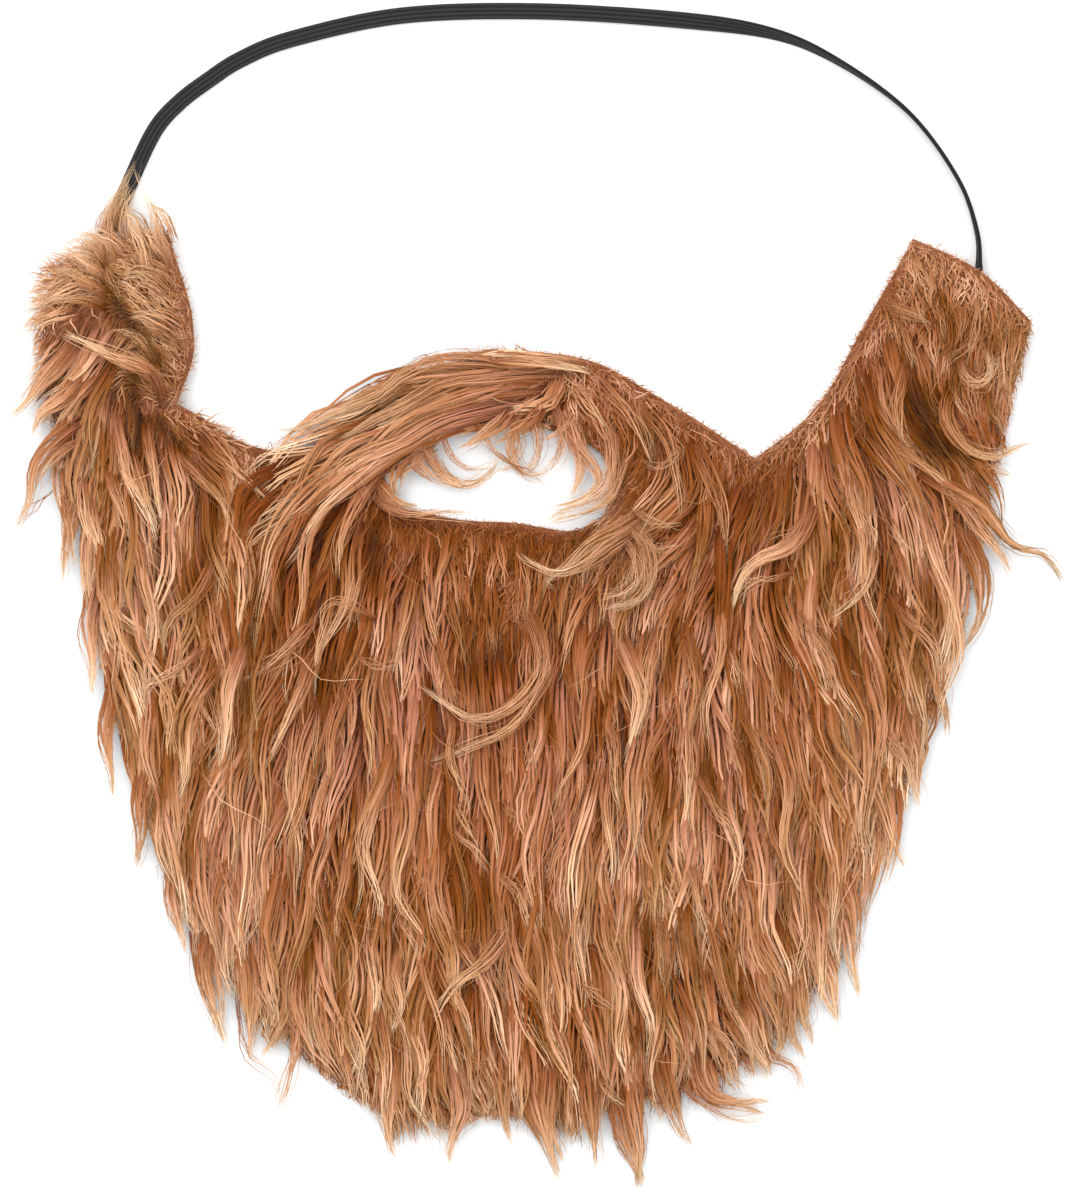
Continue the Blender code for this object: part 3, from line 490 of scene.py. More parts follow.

# Locks placed one by one. width: millimetres; strands: about how many wisps and hairs it is drawn in; gold: 0
# brown to 1 light; lift: millimetres above the pile; then the places that it runs through, root first.
LOCKS = (
    ("lip_crest", 7, 34, 0.55, 6.5, (588, 366), (515, 366), (454, 360), (411, 373), (375, 398),
     (313, 424), (268, 432)),
    ("lip_crest_pale", 5, 26, 1.00, 7.0, (594, 372), (560, 362), (524, 359), (486, 357), (456, 360)),
    ("lip_crest_fill", 8, 26, 0.40, 4.5, (440, 380), (408, 382), (372, 392), (338, 410)),
    ("lip_crest_back", 6, 24, 0.80, 7.0, (452, 370), (484, 361), (520, 361), (556, 366), (592, 376)),
    ("lip_crest_low", 6, 24, 0.45, 6.5, (585, 374), (520, 376), (450, 384), (400, 408), (350, 436),
     (300, 452)),
    ("lip_sweep_top", 7, 26, 0.50, 7.0, (572, 382), (466, 398), (399, 429), (356, 462), (271, 507)),
    ("lip_sweep_middle", 7, 26, 0.45, 7.5, (552, 394), (454, 418), (393, 450), (332, 487), (268, 552)),
    ("lip_sweep_low", 6, 22, 0.35, 7.0, (512, 410), (440, 432), (388, 458), (330, 505), (285, 570)),
    ("lip_sweep_end", 6, 22, 0.25, 6.5, (450, 425), (385, 452), (330, 488), (290, 520), (228, 560)),
    ("lip_corner", 5, 18, 0.25, 6.0, (400, 450), (375, 478), (350, 520), (338, 580)),
    ("mouth_rim_left", 3, 16, 0.90, 5.0, (388, 462), (377, 482), (376, 498), (396, 511), (440, 513),
     (488, 516)),
    ("veil_left_a", 4, 16, 0.60, 4.5, (368, 470), (384, 486), (398, 500), (420, 507)),
    ("veil_left_b", 5, 16, 0.50, 5.0, (420, 440), (402, 462), (392, 484), (398, 502)),
    ("veil_left_c", 4, 12, 0.55, 4.5, (440, 436), (420, 456), (404, 474), (402, 494)),
    ("veil_left_d", 3, 8, 0.60, 4.5, (408, 452), (416, 468), (428, 480), (436, 484)),
    ("veil_left_e", 6, 22, 0.65, 4.5, (470, 404), (446, 430), (424, 446), (400, 462)),
    ("veil_top_a", 5, 20, 0.55, 4.0, (520, 398), (500, 424), (480, 440), (456, 450)),
    ("veil_top_b", 5, 18, 0.50, 4.0, (550, 396), (532, 420), (512, 436), (492, 446)),
    ("veil_top_c", 4, 16, 0.45, 4.0, (580, 400), (568, 424), (552, 438), (534, 446)),
    ("fringe_curl_a", 3, 12, 0.90, 4.5, (500, 400), (516, 430), (520, 450), (512, 466), (500, 470),
     (490, 462)),
    ("fringe_curl_b", 3, 12, 0.85, 4.5, (552, 396), (560, 424), (562, 448), (552, 466), (538, 474)),
    ("fringe_left", 4, 24, 1.00, 4.0, (392, 400), (414, 430), (430, 458), (446, 476), (464, 484),
     (484, 480), (498, 466), (500, 454)),
    ("fringe_left_low", 3, 14, 0.90, 4.5, (384, 410), (404, 436), (420, 462), (438, 480), (460, 489),
     (482, 486)),
    ("fringe_left_thin", 2, 10, 0.75, 4.5, (424, 406), (440, 432), (454, 457), (472, 472), (492, 468),
     (500, 456)),
    ("fringe_top", 2, 8, 1.00, 4.0, (460, 402), (480, 430), (494, 448), (510, 462), (530, 479)),
    ("fringe_middle", 3, 18, 1.00, 4.0, (536, 394), (520, 420), (512, 443), (514, 462), (527, 476),
     (543, 474), (550, 462)),
    ("fringe_loop", 3, 16, 1.00, 4.5, (518, 392), (533, 418), (540, 440), (537, 459), (526, 472),
     (514, 468), (510, 458)),
    ("fringe_dark", 1, 6, 0.00, 5.0, (572, 410), (564, 436), (558, 456), (548, 472), (536, 477), (526, 470)),
    ("fringe_dark_low", 1, 6, 0.10, 5.0, (488, 446), (512, 466), (538, 480), (556, 488), (566, 495)),
    ("fringe_right", 5, 26, 0.45, 4.0, (566, 398), (573, 430), (579, 460), (578, 484), (570, 500)),
    ("fringe_long", 4, 18, 0.75, 5.0, (540, 396), (560, 424), (580, 452), (598, 470), (598, 486),
     (574, 501), (542, 512)),
    ("fringe_corner", 5, 24, 0.70, 5.0, (602, 410), (610, 440), (611, 466), (604, 488), (580, 504),
     (556, 516), (540, 522)),
    ("fringe_swirl", 4, 18, 1.00, 5.0, (628, 440), (622, 470), (610, 496), (590, 510), (562, 519),
     (544, 526)),
    ("lip_right_top", 6, 10, 0.35, 5.0, (590, 372), (612, 398), (640, 430), (652, 470)),
    ("lip_right_middle", 6, 10, 0.35, 5.5, (630, 400), (660, 430), (676, 470), (680, 520)),
    ("lip_right_low", 6, 10, 0.40, 5.5, (680, 430), (706, 470), (720, 520), (728, 570)),
    ("loop_right", 2, 7, 0.80, 7.0, (650, 432), (681, 450), (660, 469), (634, 459)),
    ("curl_right_a", 3, 10, 0.75, 7.0, (628, 500), (640, 516), (660, 526), (684, 524)),
    ("curl_right_b", 3, 10, 0.75, 7.0, (626, 510), (634, 534), (656, 548), (684, 546)),
    ("lip_curl_low", 6, 22, 0.70, 7.5, (660, 500), (630, 522), (592, 545), (566, 566), (545, 582),
     (560, 590)),
    ("lip_curl_mid", 5, 18, 0.65, 8.0, (655, 515), (620, 538), (588, 560), (555, 574), (526, 562),
     (515, 548)),
    ("scroll_a", 3, 14, 0.95, 9.0, (606, 512), (632, 524), (650, 546), (654, 572), (642, 596), (618, 610),
     (598, 614)),
    ("scroll_b", 2, 10, 0.90, 9.0, (612, 520), (636, 538), (644, 562), (640, 584), (622, 600), (600, 606)),
    ("scroll_c", 2, 10, 0.85, 9.0, (612, 528), (630, 548), (634, 566), (626, 584), (612, 592), (598, 594)),
    ("scroll_outer", 4, 14, 0.85, 8.5, (622, 526), (641, 548), (648, 575), (634, 600), (601, 613)),
    ("scroll_inner", 4, 12, 0.75, 8.0, (618, 532), (634, 554), (638, 576), (624, 594), (598, 602)),
    ("chin_scroll", 6, 24, 0.60, 8.0, (505, 585), (533, 622), (541, 664), (524, 698), (500, 714),
     (470, 716), (430, 694), (415, 680)),
    ("chin_scroll_low", 4, 14, 0.75, 8.5, (548, 600), (552, 660), (530, 706), (500, 732), (470, 748),
     (418, 764)),
    ("thin_loop", 1, 8, 1.00, 9.5, (402, 617), (384, 619), (366, 614), (350, 606), (338, 601), (328, 604),
     (323, 616), (325, 632), (333, 641)),
    ("thin_loop_tail", 1, 5, 1.00, 9.0, (350, 640), (360, 656), (378, 664), (402, 668)),
    ("roll_wisp_strap", 3, 16, 1.00, 6.0, (118, 282), (112, 250), (110, 222), (120, 194), (134, 158)),
    ("roll_wisp_right", 3, 12, 1.00, 6.0, (176, 284), (166, 244), (154, 214), (144, 188), (137, 162)),
    ("roll_wisp_middle", 5, 18, 1.00, 5.5, (156, 290), (146, 252), (134, 224), (126, 196)),
    ("roll_fuzz_a", 7, 20, 1.00, 4.0, (172, 262), (160, 246), (146, 234), (128, 230)),
    ("roll_fuzz_b", 7, 20, 1.00, 4.5, (150, 250), (142, 230), (132, 218), (118, 212)),
    ("roll_fuzz_c", 6, 20, 0.95, 5.0, (128, 262), (114, 244), (98, 234), (80, 236)),
    ("roll_fuzz_d", 7, 20, 0.95, 4.0, (172, 246), (166, 228), (157, 213), (148, 202)),
    ("roll_fuzz_e", 7, 16, 0.80, 4.0, (176, 300), (160, 284), (142, 276), (126, 276)),
    ("roll_fuzz_f", 7, 16, 0.70, 4.0, (180, 344), (164, 328), (148, 320), (132, 322)),
    ("strap_fuzz_a", 4, 22, 0.95, 4.0, (114, 240), (114, 218), (122, 196), (132, 176)),
    ("strap_fuzz_b", 4, 18, 0.90, 4.0, (102, 242), (104, 222), (112, 204), (120, 190)),
    ("strap_fuzz_c", 4, 18, 0.95, 4.0, (128, 244), (126, 222), (130, 204), (138, 188)),
    ("pucker_rim", 1.2, 8, 1.00, 3.0, (188, 391), (180, 395), (174, 403), (175, 414)),
    ("dome_cross", 4, 22, 0.95, 8.5, (166, 416), (164, 394), (156, 376), (140, 366), (105, 354), (66, 333)),
    ("dome_curl", 2.5, 14, 0.90, 8.0, (162, 374), (152, 352), (141, 339), (128, 333), (112, 334)),
    ("dome_fan_a", 3, 16, 0.85, 6.5, (118, 312), (96, 307), (76, 303), (56, 302)),
    ("dome_fan_b", 4, 20, 0.80, 6.0, (120, 304), (98, 290), (76, 278), (52, 276)),
    ("dome_fan_c", 4, 20, 0.75, 5.5, (116, 292), (100, 272), (84, 260), (66, 256)),
    ("dome_fan_d", 3, 14, 0.80, 5.5, (112, 278), (100, 256), (88, 246), (70, 244), (62, 254)),
    ("dome_fan_e", 3, 14, 0.80, 5.5, (110, 266), (102, 248), (90, 238), (76, 240)),
    ("dome_flick", 2.5, 12, 0.60, 6.5, (104, 262), (112, 276), (118, 292), (126, 306)),
    ("tab_left_flick", 6, 22, 0.65, 5.0, (88, 330), (60, 370), (30, 400), (5, 418)),
    ("tab_left_flick_low", 6, 22, 0.70, 5.0, (96, 370), (66, 398), (44, 412), (33, 440)),
    ("tab_left_hook", 6, 20, 0.60, 5.0, (104, 410), (62, 436), (38, 468), (30, 500), (14, 530)),
    ("tab_left_loop", 3, 14, 0.80, 5.0, (110, 436), (76, 446), (50, 462), (36, 484), (36, 502)),
    ("tab_left_flyaway", 1, 4, 0.80, 4.0, (62, 482), (44, 500), (24, 518), (4, 534)),
    ("tab_left_inner_light", 4, 18, 1.00, 6.5, (116, 400), (122, 440), (132, 474), (146, 510), (160, 542)),
    ("tab_left_inner_long", 4, 18, 1.00, 6.0, (148, 410), (152, 450), (160, 492), (167, 536)),
    ("tab_left_foot_light", 4, 18, 1.00, 6.0, (128, 440), (138, 470), (150, 500), (160, 536)),
    ("tab_left_foot_a", 4, 18, 1.00, 5.5, (110, 450), (116, 490), (128, 524), (142, 556)),
    ("tab_left_foot_b", 4, 18, 0.95, 5.5, (84, 460), (84, 500), (92, 530), (104, 560)),
    ("tab_left_foot_c", 4, 18, 0.90, 5.0, (70, 470), (68, 510), (72, 540), (80, 572)),
    ("crease_light", 3, 18, 0.95, 7.0, (168, 438), (186, 462), (206, 484), (226, 506), (237, 528),
     (242, 548)),
    ("crease_thin", 3, 9, 0.75, 6.5, (190, 430), (232, 468), (272, 503)),
    ("cheek_left_pale", 6, 14, 1.00, 5.0, (84, 486), (92, 514), (98, 540), (104, 572)),
    ("cheek_left_long", 4, 14, 1.00, 7.0, (122, 490), (136, 530), (143, 562), (151, 594), (159, 624),
     (166, 672)),
    ("cheek_left_turn", 3, 10, 1.00, 7.5, (124, 530), (115, 562), (113, 594), (120, 613), (146, 632),
     (164, 660)),
    ("cheek_left_cross", 3, 10, 0.95, 7.5, (214, 630), (200, 652), (184, 667), (164, 676), (148, 684),
     (140, 700)),
    ("cheek_left_fold", 5, 14, 0.70, 7.0, (226, 530), (212, 574), (194, 600), (178, 614), (168, 638),
     (162, 668)),
    ("flank_bundle", 7, 20, 0.85, 6.5, (252, 606), (242, 650), (233, 682), (229, 716), (225, 756),
     (222, 790)),
    ("flank_feather", 3, 8, 0.90, 7.0, (198, 670), (204, 702), (212, 722), (219, 744)),
    ("flank_cross", 4, 12, 0.75, 7.5, (324, 594), (308, 628), (284, 654), (258, 672), (242, 678)),
    ("flank_long", 5, 14, 0.75, 7.0, (334, 626), (314, 658), (302, 692), (290, 722), (274, 748), (258, 790)),
    ("flank_line", 2, 6, 1.00, 7.0, (322, 690), (319, 720), (316, 750), (319, 784)),
    ("flank_pale", 4, 12, 0.85, 6.5, (304, 690), (296, 730), (292, 770), (292, 822)),
    ("chin_turn_left", 3, 10, 0.90, 7.0, (438, 694), (452, 722), (451, 756), (460, 788), (474, 816)),
    ("chin_short_line", 2, 6, 1.00, 7.0, (533, 700), (530, 730), (530, 760), (534, 784)),
    ("chin_s_light", 6, 20, 0.95, 8.0, (606, 616), (626, 652), (637, 686), (640, 706), (634, 736),
     (621, 768)),
    ("chin_s_joining", 5, 14, 0.80, 7.5, (664, 606), (654, 646), (646, 680), (641, 712), (640, 750)),
    ("chin_branch", 4, 12, 0.85, 7.0, (598, 690), (610, 732), (617, 776), (623, 830)),
    ("chin_broad_a", 6, 16, 0.85, 6.5, (646, 730), (636, 772), (634, 812), (637, 856)),
    ("chin_broad_b", 5, 14, 0.85, 6.5, (612, 740), (606, 786), (608, 826), (612, 870), (609, 900)),
    ("chin_column", 4, 14, 0.90, 7.0, (696, 690), (687, 730), (686, 770), (690, 826)),
    ("chin_bright", 3, 12, 1.00, 8.0, (694, 748), (700, 780), (716, 808), (732, 828), (742, 862)),
    ("chin_bright_low", 3, 10, 0.95, 7.0, (676, 836), (690, 874), (700, 904), (706, 946)),
    ("chin_feather_a", 3, 8, 0.95, 7.0, (444, 776), (456, 802), (470, 826), (482, 856)),
    ("chin_feather_b", 3, 8, 0.95, 7.0, (444, 808), (460, 834), (478, 850), (490, 876)),
    ("chin_feather_c", 3, 10, 1.00, 7.5, (486, 842), (500, 874), (517, 888), (528, 910), (536, 938)),
    ("chin_feather_d", 2, 6, 0.90, 7.0, (498, 794), (510, 808), (522, 822)),
    ("cheek_right_joining", 4, 14, 0.90, 7.5, (866, 520), (871, 552), (862, 584), (846, 606), (830, 618)),
    ("cheek_right_side", 3, 8, 0.85, 7.0, (884, 510), (894, 536), (912, 554)),
    ("jaw_right_sweep", 6, 20, 0.70, 7.5, (820, 480), (805, 522), (786, 547), (758, 562), (738, 582),
     (726, 616)),
    ("jaw_right_thin", 2, 8, 0.95, 8.0, (806, 566), (776, 577), (746, 586), (732, 602)),
    ("jaw_right_fan_a", 3, 10, 0.90, 7.0, (788, 584), (802, 618), (820, 648), (838, 668), (862, 680)),
    ("jaw_right_fan_b", 4, 12, 0.90, 7.0, (782, 600), (798, 648), (816, 684), (834, 714), (848, 748)),
    ("jaw_right_fan_c", 4, 12, 0.80, 7.0, (804, 596), (818, 640), (834, 678), (852, 712), (866, 752)),
    ("jaw_right_turn", 4, 12, 0.85, 7.0, (884, 586), (902, 614), (922, 634), (933, 656), (936, 690)),
    ("jaw_right_edge", 4, 12, 0.85, 6.0, (876, 700), (888, 736), (904, 764), (914, 800)),
    ("jaw_right_pale", 3, 10, 0.95, 7.0, (722, 632), (734, 664), (742, 698)),
    ("jaw_right_low", 3, 10, 0.90, 7.0, (742, 716), (754, 742), (763, 776), (764, 806)),
    ("low_left_line", 2, 8, 1.00, 6.5, (398, 896), (406, 926), (416, 948), (426, 968)),
    ("low_left_pale", 5, 14, 0.90, 6.0, (372, 910), (372, 950), (378, 990), (376, 1024)),
    ("low_left_pale_b", 5, 14, 0.85, 6.0, (404, 930), (398, 966), (402, 1000), (392, 1030)),
    ("low_v_right", 5, 16, 1.00, 7.0, (520, 890), (504, 932), (484, 956), (462, 976), (442, 1000),
     (428, 1026)),
    ("low_v_left", 4, 12, 0.95, 6.5, (446, 926), (466, 950), (480, 972), (482, 1006)),
    ("low_v_foot", 4, 12, 0.90, 6.0, (424, 1000), (446, 1016), (450, 1046), (462, 1080)),
    ("low_middle_a", 3, 10, 0.90, 6.5, (612, 940), (630, 968), (642, 1000), (646, 1034)),
    ("low_middle_b", 3, 10, 1.00, 7.0, (574, 964), (588, 986), (604, 998), (620, 1008)),
    ("low_middle_c", 3, 10, 1.00, 6.0, (592, 1062), (604, 1084), (618, 1096), (632, 1104)),
    ("low_right_a", 3, 10, 0.95, 6.5, (650, 884), (658, 926), (662, 960), (665, 994)),
    ("low_right_b", 3, 10, 1.00, 6.5, (696, 1004), (712, 1026), (730, 1042), (742, 1060)),
    ("low_right_gold", 7, 20, 0.90, 5.5, (806, 880), (818, 930), (820, 966), (818, 1006)),
    ("low_right_gold_b", 7, 18, 0.80, 5.0, (776, 960), (782, 1000), (778, 1040), (772, 1066)),
    ("cheek_left_edge", 6, 20, 0.60, 4.0, (92, 470), (72, 520), (64, 585)),
    ("cheek_left_low", 6, 20, 0.60, 4.0, (100, 560), (92, 630), (96, 700)),
    ("jaw_left", 6, 20, 0.60, 4.0, (118, 665), (108, 730), (114, 800)),
    ("jaw_left_low", 6, 20, 0.60, 4.0, (150, 750), (142, 812), (138, 872)),
    ("side_left", 6, 20, 0.60, 4.0, (175, 850), (176, 902), (186, 955)),
    ("chin_left_outer", 6, 20, 0.60, 4.0, (212, 905), (206, 980), (228, 1048)),
    ("chin_left_hook", 6, 18, 0.65, 4.0, (250, 930), (256, 1000), (247, 1062)),
    ("chin_left_wisp", 4, 12, 0.70, 4.0, (300, 985), (296, 1060), (274, 1114)),
    ("stray_left_a", 1, 8, 0.80, 3.0, (300, 985), (304, 1006), (286, 1030), (269, 1050), (257, 1057)),
    ("stray_left_b", 1.5, 8, 0.70, 3.0, (236, 980), (241, 1024), (251, 1054), (268, 1069), (279, 1084),
     (282, 1114)),
    ("stray_left_c", 1, 8, 0.70, 3.0, (262, 980), (263, 1008), (254, 1034), (247, 1056)),
    ("hem_left_pale_a", 6, 18, 1.00, 3.0, (196, 915), (203, 960), (212, 1004), (229, 1050)),
    ("hem_left_pale_b", 5, 14, 0.95, 3.0, (208, 920), (214, 964), (220, 998), (226, 1032)),
    ("hem_left_tuft", 8, 30, 0.70, 4.0, (236, 920), (249, 972), (252, 1014), (247, 1052)),
    ("hem_left_cross", 5, 22, 0.70, 4.0, (290, 950), (288, 1002), (276, 1036), (260, 1057)),
    ("hem_left_end", 9, 32, 0.60, 4.0, (296, 950), (301, 1006), (308, 1036), (317, 1061)),
    ("hem_left_full", 10, 28, 0.45, 3.0, (262, 930), (268, 975), (274, 1010), (272, 1036)),
    ("hem_right_a", 6, 18, 1.00, 3.0, (788, 940), (799, 986), (806, 1020), (812, 1048)),
    ("hem_right_b", 6, 18, 1.00, 3.0, (810, 920), (825, 966), (833, 1000), (838, 1032)),
    ("hem_right_c", 5, 16, 1.00, 3.0, (834, 890), (847, 936), (853, 970), (857, 1002)),
    ("chin_tip_middle", 9, 30, 0.75, 3.0, (528, 1060), (538, 1110), (552, 1150), (559, 1182)),
    ("chin_tip_long", 8, 28, 0.75, 3.0, (608, 1076), (622, 1120), (632, 1152), (641, 1192)),
    ("chin_hook", 3, 14, 0.70, 4.0, (752, 1030), (772, 1054), (790, 1061), (799, 1076), (802, 1098)),
    ("chin_swept", 5, 18, 0.80, 4.0, (680, 1066), (712, 1094), (745, 1101), (774, 1104)),
    ("chin_swept_curl", 2, 10, 0.90, 4.5, (668, 1064), (690, 1092), (716, 1110), (744, 1118), (764, 1116),
     (779, 1106)),
    ("chin_tip_a", 8, 26, 0.60, 4.0, (400, 1030), (386, 1100), (396, 1160)),
    ("chin_tip_b", 8, 26, 0.60, 4.0, (450, 1040), (460, 1100), (448, 1166)),
    ("chin_tip_c", 7, 20, 0.60, 4.0, (505, 1030), (502, 1090), (512, 1146)),
    ("chin_tip_d", 8, 24, 0.60, 4.0, (548, 1040), (546, 1100), (562, 1164)),
    ("chin_tip_e", 8, 24, 0.60, 4.0, (585, 1045), (592, 1110), (594, 1172)),
    ("chin_tip_f", 8, 26, 0.60, 4.0, (622, 1045), (636, 1116), (638, 1192)),
    ("chin_tip_g", 7, 22, 0.60, 4.0, (655, 1030), (668, 1096), (694, 1154)),
    ("chin_right_curl", 6, 20, 0.70, 4.0, (690, 1030), (706, 1086), (736, 1104), (770, 1112)),
    ("chin_right_tip", 6, 18, 0.60, 4.0, (745, 985), (752, 1030), (768, 1072)),
    ("side_right_a", 7, 22, 0.60, 4.0, (775, 930), (784, 1000), (803, 1062)),
    ("side_right_b", 7, 22, 0.60, 4.0, (805, 900), (816, 966), (838, 1020)),
    ("side_right_c", 7, 20, 0.60, 4.0, (835, 850), (850, 908), (858, 960)),
    ("jaw_right_a", 7, 22, 0.60, 4.0, (860, 739), (878, 806), (905, 870)),
    ("jaw_right_b", 7, 20, 0.60, 4.0, (895, 690), (908, 750), (922, 810)),
    ("jaw_right_c", 7, 20, 0.60, 4.0, (925, 610), (936, 676), (948, 738)),
    ("cheek_right_bulge", 8, 26, 0.60, 5.0, (945, 499), (976, 570), (980, 612), (956, 656)),
    ("tab_right_long", 6, 24, 0.75, 7.0, (893, 430), (917, 469), (973, 505), (1012, 545), (1043, 557),
     (1068, 592)),
    ("tab_right_light", 4, 15, 0.85, 7.5, (873, 410), (893, 444), (939, 482), (974, 508)),
    ("tab_right_low", 7, 24, 0.60, 6.0, (925, 470), (968, 512), (996, 552), (1012, 580)),
    ("tab_right_flick", 5, 20, 0.75, 7.0, (955, 372), (943, 414), (956, 444), (984, 456), (1010, 450),
     (1038, 441)),
    ("tab_right_flick_low", 4, 12, 0.70, 6.0, (962, 452), (985, 468), (1012, 478)),
    ("tab_right_hook", 3, 22, 0.90, 7.0, (957, 350), (961, 376), (977, 385), (988, 372), (982, 345)),
    ("tab_right_bend", 4, 14, 0.60, 6.0, (905, 350), (897, 399), (897, 439), (912, 456)),
    ("tab_right_stray", 1, 4, 0.90, 8.0, (995, 330), (960, 350), (944, 362), (921, 396)),
    ("tab_right_top", 4, 14, 0.60, 4.5, (878, 300), (896, 312), (914, 322), (930, 328)),
    ("cheek_right_light", 4, 14, 0.90, 7.0, (846, 440), (849, 486), (858, 526), (857, 577)),
)

# The strap's route. across and down in shares of BEARD_WIDTH and BEARD_LENGTH, up: share of STRAP_RISE
# above the tab tips, roll: degrees, 90 is standing on its edge, sewn: 1 where it is held against the
# underside of the cloth.
STRAP = (
    ("left_end", -0.427, 0.000, 0.062, 0, 1),
    ("left_tab", -0.420, 0.000, 0.004, 0, 1),
    ("left_rise", -0.394, 0.260, 0.000, 0, 0),
    ("left_shoulder", -0.370, 0.480, 0.000, 0, 0),
    ("left_turn", -0.346, 0.600, 0.000, 0, 0),
    ("left_bend", -0.318, 0.694, 0.000, 0, 0),
    ("left_rising", -0.284, 0.790, 0.000, 0, 0),
    ("left_arch", -0.232, 0.880, 0.000, 0, 0),
    ("left_crown", -0.125, 0.980, 0.000, 0, 0),
    ("crown", 0.005, 1.000, 0.000, 0, 0),
    ("right_crown", 0.143, 0.965, 0.000, 18, 0),
    ("right_turn", 0.246, 0.900, 0.000, 62, 0),
    ("right_arch", 0.315, 0.770, 0.000, 82, 0),
    ("right_bend", 0.384, 0.550, 0.000, 93, 0),
    ("right_shoulder", 0.432, 0.266, 0.000, 94, 0),
    ("right_fall", 0.451, 0.035, 0.000, 90, 0),
    ("right_tab", 0.453, 0.000, 0.030, 78, 0),
    ("right_twist", 0.451, 0.000, 0.066, 30, 1),
    ("right_end", 0.447, 0.000, 0.108, 0, 1),
)


def spot(column, row):
    """A place on the table from its place in the picture."""
    return np.array(((column - ORIGIN_COLUMN) * PIXEL, (ORIGIN_ROW - row) * PIXEL))


def smooth_step(share):
    """0 to 1 with a soft start and end."""
    share = np.clip(share, 0.0, 1.0)
    return share * share * (3.0 - 2.0 * share)


def bell(offset):
    """1 at no offset, falling off to 0 on both sides."""
    return np.exp(-offset ** 2)


def unit(ways, least=NEVER_ZERO):
    """The ways at length 1."""
    return ways / (np.linalg.norm(ways, axis=-1, keepdims=True) + least)


def turned_left(ways):
    """Flat ways turned a quarter to the left."""
    return np.stack((-ways[..., 1], ways[..., 0]), -1)


def run_along(points):
    """How far along its line each point lies."""
    return np.concatenate(([0], np.cumsum(np.linalg.norm(np.diff(points, axis=0), axis=1))))


def read_along(points, run, wanted):
    """The line's points and values at the wanted lengths of its run."""
    return np.column_stack([np.interp(wanted, run, column) for column in points.T])


def curve_through(points, steps):
    """The smooth curve through all but the first and last point, with so many steps between two."""
    curve = []
    for a, b, c, d in zip(points, points[1:], points[2:], points[3:]):
        for t in np.arange(steps) / steps:
            curve.append(b + 0.5 * t * (c - a + t * (2 * a - 5 * b + 4 * c - d + t * (3 * (b - c) + d - a))))
    return np.array(curve + [points[-2]])


def resampled(path, count):
    """count evenly spaced points on the smooth curve through a few points."""
    path = np.array(path, float)
    padded = np.concatenate((2 * path[:1] - path[1:2], path, 2 * path[-1:] - path[-2:-1]))
    curve = curve_through(padded, 16)
    run = run_along(curve)
    return read_along(curve, run, np.linspace(0, run[-1], count))


def cut_edges(node):
    """The closed loops that the cloth was cut in, from the frame: its edges between underside and sides."""
    shape = bmesh.new()
    shape.from_mesh(node.data)
    bmesh.ops.remove_doubles(shape, verts=shape.verts, dist=SAME_PLACE)
    shape.normal_update()
    beside = {}
    for edge in shape.edges:
        low, high = sorted(face.normal.z for face in edge.link_faces)
        if low < FACING_DOWN and abs(high) < FACING_SIDE:
            for here, there in (edge.verts, reversed(edge.verts)):
                beside.setdefault(here, []).append(there)
    loops = []
    while beside:
        first = here = next(iter(beside))
        loop = []
        while here in beside:
            loop.append(here.co.xy[:])
            ways = beside.pop(here)
            here = next((way for way in ways if way in beside), first)
        loops.append(np.array(loop))
    shape.free()
    return sorted(loops, key=len, reverse=True)


def rounded(loop, pieces):
    """The loop with its bends rounded by a curve through its points; sharp corners stay."""
    after = np.roll(loop, -1, 0)
    inward, outward = loop - np.roll(loop, 1, 0), after - loop
    turn = np.abs(np.cross(inward, outward))
    turn = turn / np.linalg.norm(inward, axis=1) / np.linalg.norm(outward, axis=1)
    corner = (turn > SHARP_TURN)[:, None]
    leave = np.where(corner, outward, (inward + outward) / 2)
    arrive = np.roll(np.where(corner, inward, (inward + outward) / 2), -1, 0)
    t = (np.arange(pieces) / pieces)[None, :, None]
    start, end, leave, arrive = (side[:, None] for side in (loop, after, leave, arrive))
    curve = start * (2 * t ** 3 - 3 * t ** 2 + 1) + leave * (t ** 3 - 2 * t ** 2 + t)
    curve += end * (3 * t ** 2 - 2 * t ** 3) + arrive * (t ** 3 - t ** 2)
    return curve.reshape(-1, 2)


def cut_depth(points):
    """How far inside the cut edge each point lies, negative off the cloth."""
    nearest = np.full(len(points), np.inf)
    crossings = np.zeros(len(points), int)
    for loop in (CLOTH_EDGE, MOUTH_EDGE):
        for start, end in zip(loop, np.roll(loop, -1, 0)):
            side = end - start
            share = np.clip((points - start) @ side / (side @ side), 0, 1)
            nearest = np.minimum(nearest, np.linalg.norm(start + share[:, None] * side - points, axis=1))
            if start[1] != end[1]:
                spans = (start[1] > points[:, 1]) != (end[1] > points[:, 1])
                crossing = start[0] + (points[:, 1] - start[1]) * side[0] / side[1]
                crossings += spans & (points[:, 0] < crossing)
    return np.where(crossings % 2 == 1, nearest, -nearest)[:, None]


def combed(points):
    """Direction of the pile and its length share at each point, from the streams around it."""
    way, length, total = np.zeros((len(points), 2)), 0.0, 0.0
    for _, column, row, heading, share in STREAMS:
        near = np.linalg.norm(points - spot(column, row), axis=1) / BEARD_WIDTH
        weight = 1.0 / (near ** STREAM_FALLOFF + STREAM_CORE)
        angle = math.radians(heading)
        way += weight[:, None] * np.array((math.sin(angle), -math.cos(angle)))
        length += weight * share
        total += weight
    return np.column_stack((unit(way, 0.0), length / total))


